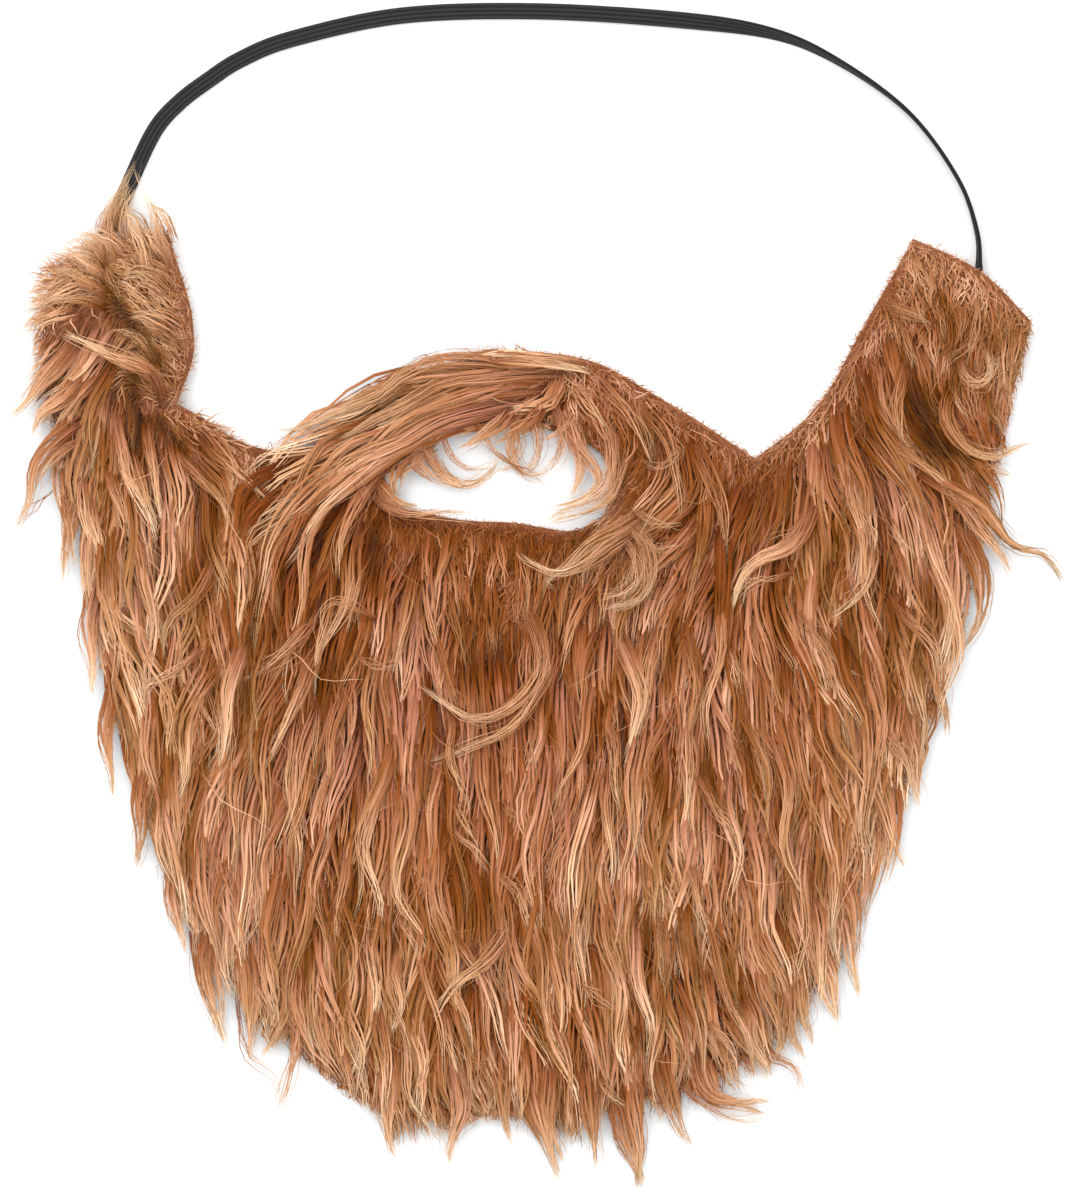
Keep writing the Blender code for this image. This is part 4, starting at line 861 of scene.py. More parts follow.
def gridded(values_at, step=GRID_STEP):
    """values_at worked out once on a grid over the table, and read between its points from then on."""
    across, up = (np.arange(start, end, step) for start, end in zip(GRID_LOW, GRID_HIGH))
    places = np.stack(np.meshgrid(across, up, indexing="ij"), -1)
    values = values_at(places.reshape(-1, 2)).reshape(len(across), len(up), -1)
    last = np.array(values.shape[:2]) - 2

    def read(points):
        place = (points - GRID_LOW) / step
        cell = np.clip(np.floor(place).astype(int), 0, last)
        share = np.clip(place - cell, 0, 1)
        i, j = cell[..., 0], cell[..., 1]
        right, ahead = share[..., :1], share[..., 1:]
        near = values[i, j] * (1 - right) + values[i + 1, j] * right
        far = values[i, j + 1] * (1 - right) + values[i + 1, j + 1] * right
        return near * (1 - ahead) + far * ahead
    return read


def painted_parting_shade(points):
    """How much light the painted shade of the partings takes off at each point."""
    painted_shade = np.zeros(len(points))
    for _, width, depth, *places in PAINTED_SHADE_PARTINGS:
        line = resampled([spot(*place) for place in places], 24)
        near = np.min([np.linalg.norm(points - place, axis=1) for place in line], axis=0)
        painted_shade = np.maximum(painted_shade, depth * bell(near / (width / MILLIMETRES)))
    return painted_shade[:, None]


def glow(points):
    """How much lighter the pile is at each point than elsewhere; darker where negative, in places as painted
    shade.
    """
    gold = np.zeros(len(points))
    for _, column, row, reach, more in GLOWS:
        gold += more * bell(np.linalg.norm(points - spot(column, row), axis=1) / (reach / MILLIMETRES))
    return gold[:, None]


def cloth_lift(points):
    """Height of the cloth's underside above the table."""
    lift = np.zeros(points.shape[:-1])
    for _, column, row, reach_across, reach_down, rise in FOLDS:
        offset = (points - spot(column, row)) / (reach_across * BEARD_WIDTH, reach_down * BEARD_LENGTH)
        lift += rise * TAB_BULGE * np.exp(-(offset ** 2).sum(-1) / 2)
    return lift


def cloth_top(points):
    return cloth_lift(points) + BACKING_THICKNESS


def pile_depth(depth):
    """Depth of the dense pile so far inside the cut edge."""
    return PILE_EDGE_DEPTH + (PILE_DEPTH - PILE_EDGE_DEPTH) * smooth_step(depth / PILE_RAMP)


def past_edge(depth):
    """0 on the cloth to 1 where hair that hangs past it has come down to the table."""
    return smooth_step(-depth / DROP_REACH)


def hair_floor(points):
    """Lowest height that hair keeps: on the underfur, coming down to the table past the cut edge."""
    depth = depth_at(points)[..., 0]
    seat = cloth_top(points) + pile_depth(depth)
    return seat + (TIP_GAP + HAIR_RADIUS - seat) * past_edge(depth)


def along_paths(paths, share):
    """Places and unit normals on flat paths (locks, points, 2) at shares (locks, strands, stations)."""
    place = np.clip(share, 0, 1) * (paths.shape[1] - 1)
    cell = np.clip(np.floor(place).astype(int), 0, paths.shape[1] - 2)
    beyond = (place - cell)[..., None]
    lock = np.arange(len(paths))[:, None, None]
    start, end = paths[lock, cell], paths[lock, cell + 1]
    ways = np.gradient(paths, axis=1)
    way = ways[lock, cell] * (1 - beyond) + ways[lock, cell + 1] * beyond
    return start + (end - start) * beyond, turned_left(unit(way))


def path_lengths(paths):
    return np.linalg.norm(np.diff(paths, axis=1), axis=-1).sum(1)


def waved(paths, reach, wavelength, phase):
    """The paths with a wave that grows towards the tip."""
    steps = np.linalg.norm(np.diff(paths, axis=1), axis=-1)
    travelled = np.concatenate((np.zeros((len(paths), 1)), np.cumsum(steps, 1)), 1)
    growth = smooth_step(np.linspace(0, 1, paths.shape[1]) * 1.5)
    swing = reach[:, None] * growth
    swing = swing * np.sin(phase[:, None] + 2 * math.pi * travelled / wavelength[:, None])
    return paths + turned_left(unit(np.gradient(paths, axis=1))) * swing[..., None]


def combed_paths(roots, lengths, turns):
    """Paths that follow the pile from their roots, each turned off it by its own angle."""
    step = (lengths / (PATH_POINTS - 1))[:, None]
    points = [roots]
    for _ in range(PATH_POINTS - 1):
        way = unit(combed_at(points[-1])[:, :2], 0.0)
        turned = np.column_stack((way[:, 0] * np.cos(turns) - way[:, 1] * np.sin(turns),
                                  way[:, 0] * np.sin(turns) + way[:, 1] * np.cos(turns)))
        points.append(points[-1] + turned * step)
    return np.stack(points, 1)


def drifting(chance, cell):
    """A value about 0 that wanders smoothly over the beard, about 1 strong."""
    return gridded(lambda points: chance.normal(0, 1, (len(points), 1)), cell)


class Locks:
    """Locks of hair: flat paths, each with a width, lift, tone and gold, and how far the painted shade of a
    parting darkens it.
    """

    def __init__(self, paths, width, lift, tone, gold, shaded):
        self.paths, self.width, self.lift, self.tone, self.gold = paths, width, lift, tone, gold
        self.shaded = shaded

    def __len__(self):
        return len(self.paths)

    def chosen(self, which):
        parts = (self.paths, self.width, self.lift, self.tone, self.gold, self.shaded)
        return Locks(*(part[which] for part in parts))


def fullness(share):
    """Width of a lock along its run: full at the roots, drawn together to a point."""
    thinning, full_until, sharpness, point = 0.12, 0.30, 1.15, 0.03
    drawn = smooth_step((share - full_until) / (1.0 - full_until)) ** sharpness
    return (1.0 - thinning * share) * (1.0 - drawn) + point


def rising(share):
    """Height of a lock along its run: low at the root, over the next locks, down a little at its tip."""
    risen_at, sag_from, sag = 0.42, 0.6, 0.40
    return smooth_step(share / risen_at) * (1.0 - sag * smooth_step((share - sag_from) / (1.0 - sag_from)))


def jittered_grid(pitch, chance):
    """Staggered places over the whole beard, a pitch apart."""
    rows = np.arange(-FIELD_REACH, FIELD_REACH, pitch * math.sqrt(3) / 2)
    columns = np.arange(-FIELD_REACH, FIELD_REACH, pitch)
    places = [(column + pitch / 2 * (index % 2), row) for index, row in enumerate(rows) for column in columns]
    return np.array(places) + chance.uniform(-JITTER, JITTER, (len(places), 2)) * pitch


def inward_at(places):
    """The way from each place straight onto the cloth."""
    near = 0.001
    steps = [depth_at(places + way)[:, 0] - depth_at(places - way)[:, 0] for way in ((near, 0), (0, near))]
    return unit(np.column_stack(steps), 1e-9)


def scattered_roots(pitch, chance):
    """Staggered places on the cloth."""
    roots = jittered_grid(pitch, chance)
    return roots[depth_at(roots)[:, 0] > ROOT_INSET]


def thin_roots(locks, chance):
    """Staggered places on the cloth that few points of the locks' bodies lie near."""
    body = locks.paths[:, BODY_POINTS].reshape(-1, 2)
    tree = KDTree(len(body))
    for index, point in enumerate(body):
        tree.insert((*point, 0.0), index)
    tree.balance()
    roots = scattered_roots(PLUSH_PITCH, chance)
    return roots[[len(tree.find_range((*root, 0.0), PLUSH_REACH)) < PLUSH_FEWEST for root in roots]]


def nap_roots(chance):
    """Staggered places where the pile is short, or along the cut edges that it is combed away from."""
    roots = jittered_grid(NAP_PITCH, chance)
    depth, comb = depth_at(roots)[:, 0], combed_at(roots)
    leads = (comb[:, :2] * inward_at(roots)).sum(1)
    short = chance.uniform(*SHORT_COMB, len(roots)) > comb[:, 2]
    bared = (depth < chance.uniform(*BARED_EDGE, len(roots))) & (leads > LEADS_ON)
    return roots[(depth > ROOT_INSET / 2) & (short | bared)]


def edge_places(spacing, chance):
    """Places along the cut edges and the ways from them onto the cloth."""
    places = []
    for loop in (CLOTH_EDGE, MOUTH_EDGE):
        closed = np.concatenate((loop, loop[:1]))
        run = run_along(closed)
        wanted = np.arange(0, run[-1], spacing)
        wanted = wanted + chance.uniform(-EDGE_JITTER, EDGE_JITTER, len(wanted)) * spacing
        places.append(read_along(closed, run, wanted))
    places = np.concatenate(places)
    return places, inward_at(places)


def hanging_roots(chance):
    """Places just inside the cut edges where the comb leads off the cloth."""
    places, inward = edge_places(FUZZ_SPACING, chance)
    leads = (combed_at(places)[:, :2] * inward).sum(1)
    return (places + inward * FUZZ_INSET)[leads < LEADS_OFF]


def rim_roots(chance):
    """Places in a narrow band along the cut edges."""
    places, inward = edge_places(RIM_SPACING, chance)
    return places + inward * chance.uniform(*RIM_BAND, (len(places), 1))


def combed_locks(chance, roots, length, width, lift, gold, swing, waves, unruly):
    """Locks that follow the comb from their roots.

    length: range of shares of the comb's length there; width, lift: of LOCK_WIDTH and LOCK_RISE; gold: range;
    swing, waves: shares of WAVE_REACH and WAVE_LENGTH; unruly: degrees that each strays from the comb."""
    count = len(roots)
    turn, phase, paleness, patch, shadow = (drifting(chance, cell)(roots)[:, 0] for cell in DRIFT_CELLS)
    glowing = glow_at(roots)[:, 0]
    paleness = GOLD_DRIFT * paleness + glowing
    tone = TONE_MIDDLE + TONE_DRIFT * patch + TONE_DRIFT * shadow + TONE_OF_GLOW * glowing
    tone = np.clip(tone + chance.normal(0, TONE_SPREAD, count), 0, 1)
    share = combed_at(roots)[:, 2]
    lengths = HAIR_LENGTH * share * chance.uniform(*length, count)
    turning = turn * TURN_DRIFT * swing + chance.normal(0, unruly, count)
    paths = combed_paths(roots, lengths, np.radians(turning))
    paths = waved(paths, WAVE_REACH * swing * share * chance.uniform(*WAVE_REACHES, count),
                  WAVE_LENGTH * waves * chance.uniform(*WAVE_LENGTHS, count),
                  phase * PHASE_DRIFT + chance.normal(0, PHASE_SPREAD, count))
    reach = allowed_share(paths, chance)
    keep = reach * lengths > LEAST_LOCK
    shares = reach[keep, None, None] * np.linspace(0, 1, PATH_POINTS)
    paths, paleness, tone = along_paths(paths[keep], shares)[0][:, 0], paleness[keep], tone[keep]
    count, run = len(paths), path_lengths(paths)
    width = LOCK_WIDTH * chance.uniform(*width, count) * np.sqrt(np.clip(run / WIDE_RUN, 0.4, 1.2))
    lift = LOCK_RISE * chance.uniform(*lift, count) * np.clip(run / HIGH_RUN, 0.35, 1.0)
    gold = np.clip(chance.uniform(*gold, count) + paleness, 0, 1)
    return Locks(paths, width, lift, tone, gold, np.ones(count))


def allowed_share(paths, chance):
    """Share of each path up to where it would reach over the mouth hole or too far off the cloth."""
    depth = depth_at(paths)[..., 0]
    columns, rows = ORIGIN_COLUMN + paths[..., 0] / PIXEL, ORIGIN_ROW - paths[..., 1] / PIXEL
    row, left, right = np.array(OVERHANG, float).T
    allowed = np.where(paths[..., 0] < 0, np.interp(rows, row, left), np.interp(rows, row, right))
    allowed = allowed / MILLIMETRES
    tufts = TUFT_MIDDLE + TUFT_DRIFT * drifting(chance, TUFT_CELL)(paths[:, 0])
    tufts = tufts + chance.uniform(-TUFT_JITTER, TUFT_JITTER, (len(paths), 1))
    allowed = allowed * np.clip(tufts, *TUFT_REACHES)
    hem = np.interp(columns, [column for _, column, _ in HEM], [row for _, _, row in HEM])
    below = (rows > hem + chance.uniform(*HEM_JITTER, (len(paths), 1))) & (depth < -HEM_DEPTH)
    near_mouth = np.linalg.norm((paths - MOUTH_EDGE.mean(0)) / MOUTH_REACH, axis=-1) < 1
    blocked = (depth < -allowed) | (near_mouth & (depth < -MOUTH_DEPTH)) | below
    first = np.where(blocked.any(1), blocked.argmax(1) - 1, paths.shape[1] - 1)
    return np.clip(first, 0, None) / (paths.shape[1] - 1)


def placed_locks(chance):
    """The locks placed one by one, and how many strands each has."""
    paths = np.stack([resampled([spot(*point) for point in row[5:]], PATH_POINTS) for row in LOCKS])
    count = len(paths)
    width, strands, gold, lift = (np.array([row[index] for row in LOCKS], float) for index in (1, 2, 3, 4))
    phase = chance.uniform(0, 2 * math.pi, count)
    paths = waved(paths, np.full(count, PLACED_REACH), np.full(count, PLACED_WAVE), phase)
    tone = chance.uniform(*PLACED_TONES, count)
    shaded = np.full(count, PLACED_SHADE)
    locks = Locks(paths, width / MILLIMETRES, lift / MILLIMETRES, tone, gold, shaded)
    return locks, strands.astype(int)


def strand_lines(locks, count, stations, chance, loose=1.0, ragged=0.42):
    """Centre lines of count strands in each lock, with the values that their finish reads.

    loose: how far they leave their lock; ragged: share of its length that the shortest may end before."""
    shape = (len(locks), count)
    slot = (np.arange(count) + chance.uniform(0, 1, shape)) / count - 0.5
    order = chance.permuted(np.tile(np.arange(count), (len(locks), 1)), axis=1)
    slot = np.take_along_axis(slot, order, 1)
    height = chance.uniform(0, 1, shape) * (1 - (2 * slot) ** 2)
    start = chance.uniform(0, LATEST_START, shape)
    end = 1 - chance.uniform(0, ragged, shape) ** FORKING
    share = start[..., None] + (end - start)[..., None] * np.linspace(0, 1, stations)
    places, side = along_paths(locks.paths, share)
    spread = fullness(share) * locks.width[:, None, None]
    stray = smooth_step(share * 1.3) * chance.normal(0, STRAND_STRAY, shape)[..., None] * loose
    phase = chance.uniform(0, 6.3, shape)[..., None]
    swings = share * chance.uniform(*WANDER_SWINGS, shape)[..., None]
    wander = STRAND_WANDER * np.sin(phase + swings)
    across = slot[..., None] * spread + stray + wander * smooth_step(share * 2) * loose
    flat = places + side * across[..., None]
    depth = depth_at(flat)[..., 0]
    # Painted shade of the partings: over the whole of a combed lock, near the root of a placed one; the pile
    # lies lower there too
    at_root = 1 - smooth_step(share / PAINTED_SHADE_ROOTS)
    painted_shade = painted_parting_shade_at(flat)[..., 0] * np.maximum(locks.shaded[:, None, None], at_root)
    rise = locks.lift[:, None, None] * rising(share) + height[..., None] * spread * LOCK_CROWN
    rise = rise * (1 - painted_shade)
    floor, skin = hair_floor(flat), cloth_top(flat)
    floor = np.where(depth > 0, skin + (floor - skin) * smooth_step(share / OUT_OF_UNDERFUR), floor)
    up = floor + rise * (1 - CALM_PAST_EDGE * past_edge(depth))
    up = up + chance.uniform(0, STRAND_LIFT, shape)[..., None]
    lines = np.concatenate((flat, up[..., None]), -1)
    parts = (lines, *strand_values(locks, share, slot, height, painted_shade, chance))
    return [part.reshape(-1, stations, part.shape[-1]) for part in parts]


def strand_values(locks, share, slot, height, painted_shade, chance):
    """What the finish reads of each strand: its run, tint, lean in its lock and girth."""
    shape = slot.shape
    grown = combed_at(locks.paths[:, 0])[:, 2] / LONG_COMB
    short = 1 - np.clip(grown, 0.4, 1)[:, None, None]
    ripe = share + (1 - share) * RIPE_WHEN_SHORT * short
    seed = np.broadcast_to(chance.uniform(0, SEEDS_ACROSS, shape)[..., None], share.shape)
    run = np.stack((seed, share * path_lengths(locks.paths)[:, None, None], ripe), -1)
    dark = DARKER * (chance.uniform(0, 1, shape) < DARK_STRANDS)
    tone = locks.tone[:, None] * TONE_OF_LOCK + chance.uniform(0.0, TONE_OF_STRAND, shape)
    # strands deep in the lock get painted shade; some strands are darker at random
    tone = tone - PAINTED_SHADE_OF_DEPTH * (1 - height) - dark
    gold = locks.gold[:, None] + chance.normal(0, GOLD_OF_STRAND, shape)
    warmth = locks.tone[:, None] * WARMTH_OF_LOCK + chance.uniform(0, WARMTH_OF_STRAND, shape)
    tint = [np.broadcast_to(np.clip(part, 0, 1)[..., None], share.shape) for part in (tone, gold, warmth)]
    lean = np.broadcast_to((slot * LOCK_ROUNDNESS)[..., None, None], (*share.shape, 1))
    girth = chance.uniform(*GIRTHS, shape) * np.clip(locks.width / BROAD_LOCK, LEAST_BREADTH, 1)[:, None]
    girth = girth * np.clip(grown, 0.55, 1)[:, None]
    girth = np.broadcast_to(girth[..., None, None], (*share.shape, 1))
    # the tint's fourth value is the light that the partings' painted shade leaves
    return run, np.stack((*tint, 1 - painted_shade), -1), lean, girth


def strand_solids(lines, run, tint, lean, girth, radius, flatness=1.0, drawn=0.85):
    """Closed three-sided strands along the centre lines, drawn to a point.

    lean tips a strand's shading normal to its lock's side, so that a lock gleams as one round body."""
    count, stations = lines.shape[:2]
    slope = unit(np.gradient(lines, axis=1))
    side = unit(np.concatenate((turned_left(slope), np.zeros((count, stations, 1))), -1))
    share = np.linspace(0, 1, stations)
    rooted = ROOT_GIRTH + (1 - ROOT_GIRTH) * smooth_step(share / WHOLE_GIRTH_FROM)
    taper = rooted * (1 - drawn * smooth_step((share - DRAWN_FROM) / (1 - DRAWN_FROM)))
    size = radius * girth * taper[:, None]
    rings, runs, normals = [], [], []
    for turn in range(3):
        angle = math.radians(90 + 120 * turn)
        offset = side * math.cos(angle) + np.array((0, 0, math.sin(angle) * flatness))
        rings.append(lines + offset * size)
        runs.append(run[:, :-1] + np.array((math.cos(angle) * radius * MILLIMETRES, 0, 0)))
        normal = side * (lean + math.cos(angle) * STRAND_ROUNDNESS) + np.array((0, 0, 1.0))
        normal -= slope * (normal * slope).sum(-1, keepdims=True)
        normals.append(unit(normal, 0.0))
    corners = []
    for station in range(stations - 2):
        for turn in range(3):
            a, b = station * 3 + turn, station * 3 + (turn + 1) % 3
            corners += [(a, b, b + 3), (a, b + 3, a + 3)]
    last = (stations - 2) * 3
    corners += [(last + turn, last + (turn + 1) % 3, last + 3) for turn in range(3)]
    corners.append((2, 1, 0))
    normal = np.stack(normals, 2)
    body = np.stack(rings, 2)[:, :-1].reshape(count, -1, 3)
    vertices = np.concatenate((body, lines[:, -1:]), 1)
    run = np.concatenate((np.stack(runs, 2).reshape(count, -1, 3), run[:, -1:]), 1)
    tint = np.concatenate((np.repeat(tint[:, :-1], 3, 1), tint[:, -1:]), 1)
    normal = np.concatenate((normal[:, :-1].reshape(count, -1, 3), normal[:, -1, :1]), 1)
    triangles = np.array(corners)[None] + (np.arange(count) * vertices.shape[1])[:, None, None]
    return [part.reshape(-1, part.shape[-1]) for part in (vertices, triangles, run, tint, normal)]


def keep_values(mesh, name, kind, values):
    """Values of a mesh's points that its finish or its shading reads."""
    field = "color" if kind == "FLOAT_COLOR" else "vector"
    mesh.attributes.new(name, kind, "POINT").data.foreach_set(field, values.astype(np.float32).ravel())


def joined_mesh(name, parts):
    """One mesh from several sets of vertices, triangles and values."""
    first = np.cumsum([0] + [len(part[0]) for part in parts[:-1]])
    vertices, run, tint, normal = (np.concatenate([part[index] for part in parts]) for index in (0, 2, 3, 4))
    triangles = np.concatenate([part[1] + start for part, start in zip(parts, first)])
    mesh = bpy.data.meshes.new(name)
    mesh.vertices.add(len(vertices))
    mesh.vertices.foreach_set("co", vertices.astype(np.float32).ravel())
    mesh.loops.add(triangles.size)
    mesh.loops.foreach_set("vertex_index", triangles.astype(np.int32).ravel())
    mesh.polygons.add(len(triangles))
    mesh.polygons.foreach_set("loop_start", np.arange(0, triangles.size, 3, dtype=np.int32))
    mesh.update(calc_edges=True)
    keep_values(mesh, "hair_run", "FLOAT_VECTOR", run)
    keep_values(mesh, "hair_tint", "FLOAT_COLOR", tint)
    mesh.shade_smooth()
    keep_values(mesh, "custom_normal", "FLOAT_VECTOR", normal)
    return mesh


def shown(name, mesh, material, slot, *replaced):
    """A piece of the object: linked, finished, riding on its body, and with the frame nodes it replaces
    hidden.
    """
    piece = bpy.data.objects.new(name, mesh)
    bpy.context.scene.collection.objects.link(piece)
    mesh.materials.append(material)
    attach(piece, BODY)
    if replaced:
        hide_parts(*replaced)
    return piece


# The pieces that the pile is split in, and the places whose roots each one holds
ZONES = (
    ("fur_left_tab", lambda x, y: (x < -0.105) & (y > 0.062)),
    ("fur_right_tab", lambda x, y: (x > 0.105) & (y > 0.062)),
    ("fur_moustache", lambda x, y: (abs(x) <= 0.105) & (y > 0.050)),
    ("fur_left_cheek", lambda x, y: (x < -0.050) & (y <= 0.062) & (y > -0.060)),
    ("fur_right_cheek", lambda x, y: (x > 0.050) & (y <= 0.062) & (y > -0.060)),
    ("fur_middle", lambda x, y: (abs(x) <= 0.050) & (y <= 0.050) & (y > -0.060)),
    ("fur_left_chin", lambda x, y: (x < -0.010) & (y <= -0.060)),
    ("fur_right_chin", lambda x, y: (x >= -0.010) & (y <= -0.060)),
)


def placed_strands(lock, count, chance):
    """The wisps and the single hairs of one placed lock."""
    breadth = lock.width[0] / BROAD_LOCK
    stations = LONG_STATIONS if path_lengths(lock.paths)[0] > LONG_LOCK else SHORT_STATIONS
    wisps = strand_lines(lock, count // 2 + 1, stations, chance, loose=0.8, ragged=0.3)
    hairs = strand_lines(lock, count * 3 // 5 + 1, stations, chance, loose=2.2, ragged=0.6)
    wisp_radius = WISP_RADIUS * 0.80 * min(1, breadth) ** 0.5
    hair_radius = HAIR_RADIUS * 1.15 / np.clip(breadth, LEAST_BREADTH, 1)
    return [strand_solids(*wisps, wisp_radius, WISP_FLATNESS, drawn=0.65),
            strand_solids(*hairs, hair_radius, drawn=0.5)]


def make_fur(material):
    """The pile in its zones, each of locks in several kinds."""
    chance = np.random.default_rng(FUR_SEED)
    under = combed_locks(chance, scattered_roots(LOCK_PITCH, chance), length=(0.7, 1.05), width=(0.7, 1.15),
                         lift=(0.1, 0.7), gold=(0.0, 0.6), swing=1.0, waves=1.4, unruly=5)
    over = combed_locks(chance, scattered_roots(LOCK_PITCH * 1.9, chance), length=(0.85, 1.3),
                        width=(0.35, 0.7), lift=(0.7, 1.3), gold=(0.2, 1.0), swing=1.0, waves=1.0, unruly=5)
    plush = combed_locks(chance, thin_roots(under, chance), length=(0.22, 0.42), width=(0.45, 0.7),
                         lift=(0.05, 0.3), gold=(0.0, 0.35), swing=0.3, waves=1.0, unruly=4)
    fuzz = combed_locks(chance, hanging_roots(chance), length=(0.12, 0.34), width=(0.1, 0.3),
                        lift=(0.2, 0.8), gold=(0.4, 1.0), swing=1.5, waves=0.6, unruly=26)
    roots = rim_roots(chance)
    whole = HAIR_LENGTH * combed_at(roots)[:, 2]
    rim = combed_locks(chance, roots, length=(RIM_SHORTEST / whole, RIM_LONGEST / whole), width=(0.08, 0.12),
                       lift=(0.2, 0.8), gold=(0.0, 0.6), swing=1.0, waves=0.5, unruly=75)
    roots = nap_roots(chance)
    fuller = combed_at(roots)[:, 2] ** -NAP_EVENNESS * NAP_SHARE
    nap = combed_locks(chance, roots, length=(0.22 * fuller, 0.46 * fuller), width=(0.08, 0.12),
                       lift=(0.1, 0.7), gold=(0.0, 0.8), swing=1.0, waves=0.5, unruly=26)
    stray = combed_locks(chance, scattered_roots(LOCK_PITCH * 1.25, chance), length=(0.3, 0.9),
                         width=(0.1, 0.4), lift=(0.8, 1.7), gold=(0.6, 1.0), swing=1.6, waves=0.8, unruly=24)
    placed, strands = placed_locks(chance)

    # Locks, strands in each, stations, looseness, the root's and the whole run's share of ripeness, whether
    # each is a tuft of even girth, half width, flatness
    layers = (
        (under, 7, 7, 1.0, 0.00, 1.00, False, WISP_RADIUS, WISP_FLATNESS),
        (over, 6, 11, 1.0, 0.00, 1.00, False, WISP_RADIUS, WISP_FLATNESS),
        (over, 3, 11, 2.0, 0.00, 1.00, False, HAIR_RADIUS, 1.0),
        (plush, 5, 5, 0.5, 0.00, 0.55, False, WISP_RADIUS * 0.75, WISP_FLATNESS),
        (nap, 1, 4, 0.6, 0.22, 0.50, True, NAP_RADIUS, NAP_FLATNESS),
        (rim, 1, 3, 0.6, 0.32, 0.34, True, NAP_RADIUS * 0.85, NAP_FLATNESS),
        (fuzz, 1, 6, 1.0, 0.00, 1.00, False, HAIR_RADIUS * 2.2, 1.0),
        (stray, 1, 9, 1.5, 0.00, 1.00, False, HAIR_RADIUS * 2.4, 1.0),
    )
    for name, holds in ZONES:
        parts = []
        for locks, count, stations, loose, at_root, ripening, tuft, radius, flatness in layers:
            here = locks.chosen(holds(*locks.paths[:, 0].T))
            if not len(here):
                continue
            lines = strand_lines(here, count, stations, chance, loose)
            lines[1][..., 2] = at_root + ripening * lines[1][..., 2]
            if tuft:
                lines[4] = np.ones((len(here), stations, 1)) * chance.uniform(*TUFT_GIRTHS, (len(here), 1, 1))
            parts.append(strand_solids(*lines, radius, flatness))
        for index in np.flatnonzero(holds(*placed.paths[:, 0].T)):
            parts += placed_strands(placed.chosen([index]), strands[index], chance)
        shown(name, joined_mesh(name, parts), material, "fur", "fur_pile")


def cloth_mesh(name, pitch, bottom, top):
    """The cut cloth as a closed sheet between two heights."""
    loops = [CLOTH_EDGE, MOUTH_EDGE]
    edges, first = [], 0
    for loop in loops:
        edges += [(first + index, first + (index + 1) % len(loop)) for index in range(len(loop))]
        first += len(loop)
    grid = jittered_grid(pitch, np.random.default_rng(CLOTH_SEED))
    grid = grid[depth_at(grid)[:, 0] > pitch * CUT_CLEARANCE]
    points = [Vector(point) for point in np.concatenate((*loops, grid))]
    inside_edges, nearest = 1, 1e-7
    corners, _, faces, *_ = delaunay_2d_cdt(points, edges, [], inside_edges, nearest)
    places = np.array([corner[:] for corner in corners])
    middles = np.array([places[list(face)].mean(0) for face in faces])
    faces = np.array([face[:] for face in faces])[depth_at(middles)[:, 0] > 0]
    shape = bmesh.new()
    under = [shape.verts.new((*place, z)) for place, z in zip(places, bottom(places))]
    for face in faces:
        shape.faces.new([under[index] for index in face])
    shape.verts.index_update()
    bmesh.ops.recalc_face_normals(shape, faces=shape.faces)
    raised = bmesh.ops.extrude_face_region(shape, geom=shape.faces[:])
    above = [item for item in raised["geom"] if isinstance(item, bmesh.types.BMVert)]
    heights = top(np.array([vertex.co.xy[:] for vertex in above]))
    for vertex, z in zip(above, heights):
        vertex.co.z = z
    loose = [vertex for vertex in shape.verts if not vertex.link_faces]
    bmesh.ops.delete(shape, geom=loose, context="VERTS")
    bmesh.ops.recalc_face_normals(shape, faces=shape.faces)
    mesh = bpy.data.meshes.new(name)
    shape.to_mesh(mesh)
    shape.free()
    mesh.shade_smooth()
    mesh.set_sharp_from_angle(angle=math.radians(CREASE_ANGLE))
    return mesh


def make_backing(material, floor):
    """The knitted backing: one cut sheet, whose flat size and area are those it was cut to."""
    mesh = cloth_mesh("knitted_backing", BACKING_PITCH, cloth_lift, cloth_top)
    piece = shown("knitted_backing", mesh, material, "backing", "backing_cloth")


def make_cut_edge(material):
    """The ends of the backing's yarn, which stick out where it was cut."""
    chance = np.random.default_rng(YARN_SEED)
    places, inward = edge_places(YARN_SPACING, chance)
    count = len(places)
    slant = turned_left(inward) * chance.uniform(-YARN_SLANT, YARN_SLANT, (count, 1))
    reach = chance.uniform(*YARN_ENDS, (count, 1, 1))
    share = np.array((0.0, 0.5, 1.0))[None, :, None]
    flat = places[:, None] + inward[:, None] * YARN_ROOT + (slant - inward)[:, None] * share * reach
    up = (cloth_lift(places) + BACKING_THICKNESS * YARN_HEIGHT)[:, None, None] * np.ones((1, 3, 1))
    lines = np.concatenate((flat, up), -1)
    run, tint = np.zeros((count, 3, 3)), np.ones((count, 3, 4))
    lean, girth = np.zeros((count, 3, 1)), np.ones((count, 3, 1))
    parts = strand_solids(lines, run, tint, lean, girth, YARN_RADIUS)
    shown("cut_edge_yarn", joined_mesh("cut_edge_yarn", [parts]), material, "backing", "backing_cloth")


def make_underfur(material):
    """The mat of short fibres at the foot of the pile, dented here and there."""
    dents = np.random.default_rng(UNDERFUR_SEED).normal(0, UNDERFUR_DENT, DENTS)

    def bottom(points):
        return cloth_top(points) + UNDERFUR_GAP

    def top(points):
        depth = depth_at(points)[..., 0]
        scattered = np.abs(points[:, 0] * PRIME_ACROSS + points[:, 1] * PRIME_UP) * 1000
        thick = pile_depth(depth) * UNDERFUR_SHARE * smooth_step((depth + 0.0005) / UNDERFUR_RAMP)
        dented = thick + dents[scattered.astype(int) % DENTS]
        return cloth_top(points) + np.maximum(dented, UNDERFUR_LEAST)
    shown("underfur", cloth_mesh("underfur", UNDERFUR_PITCH, bottom, top), material, "fur", "fur_pile")


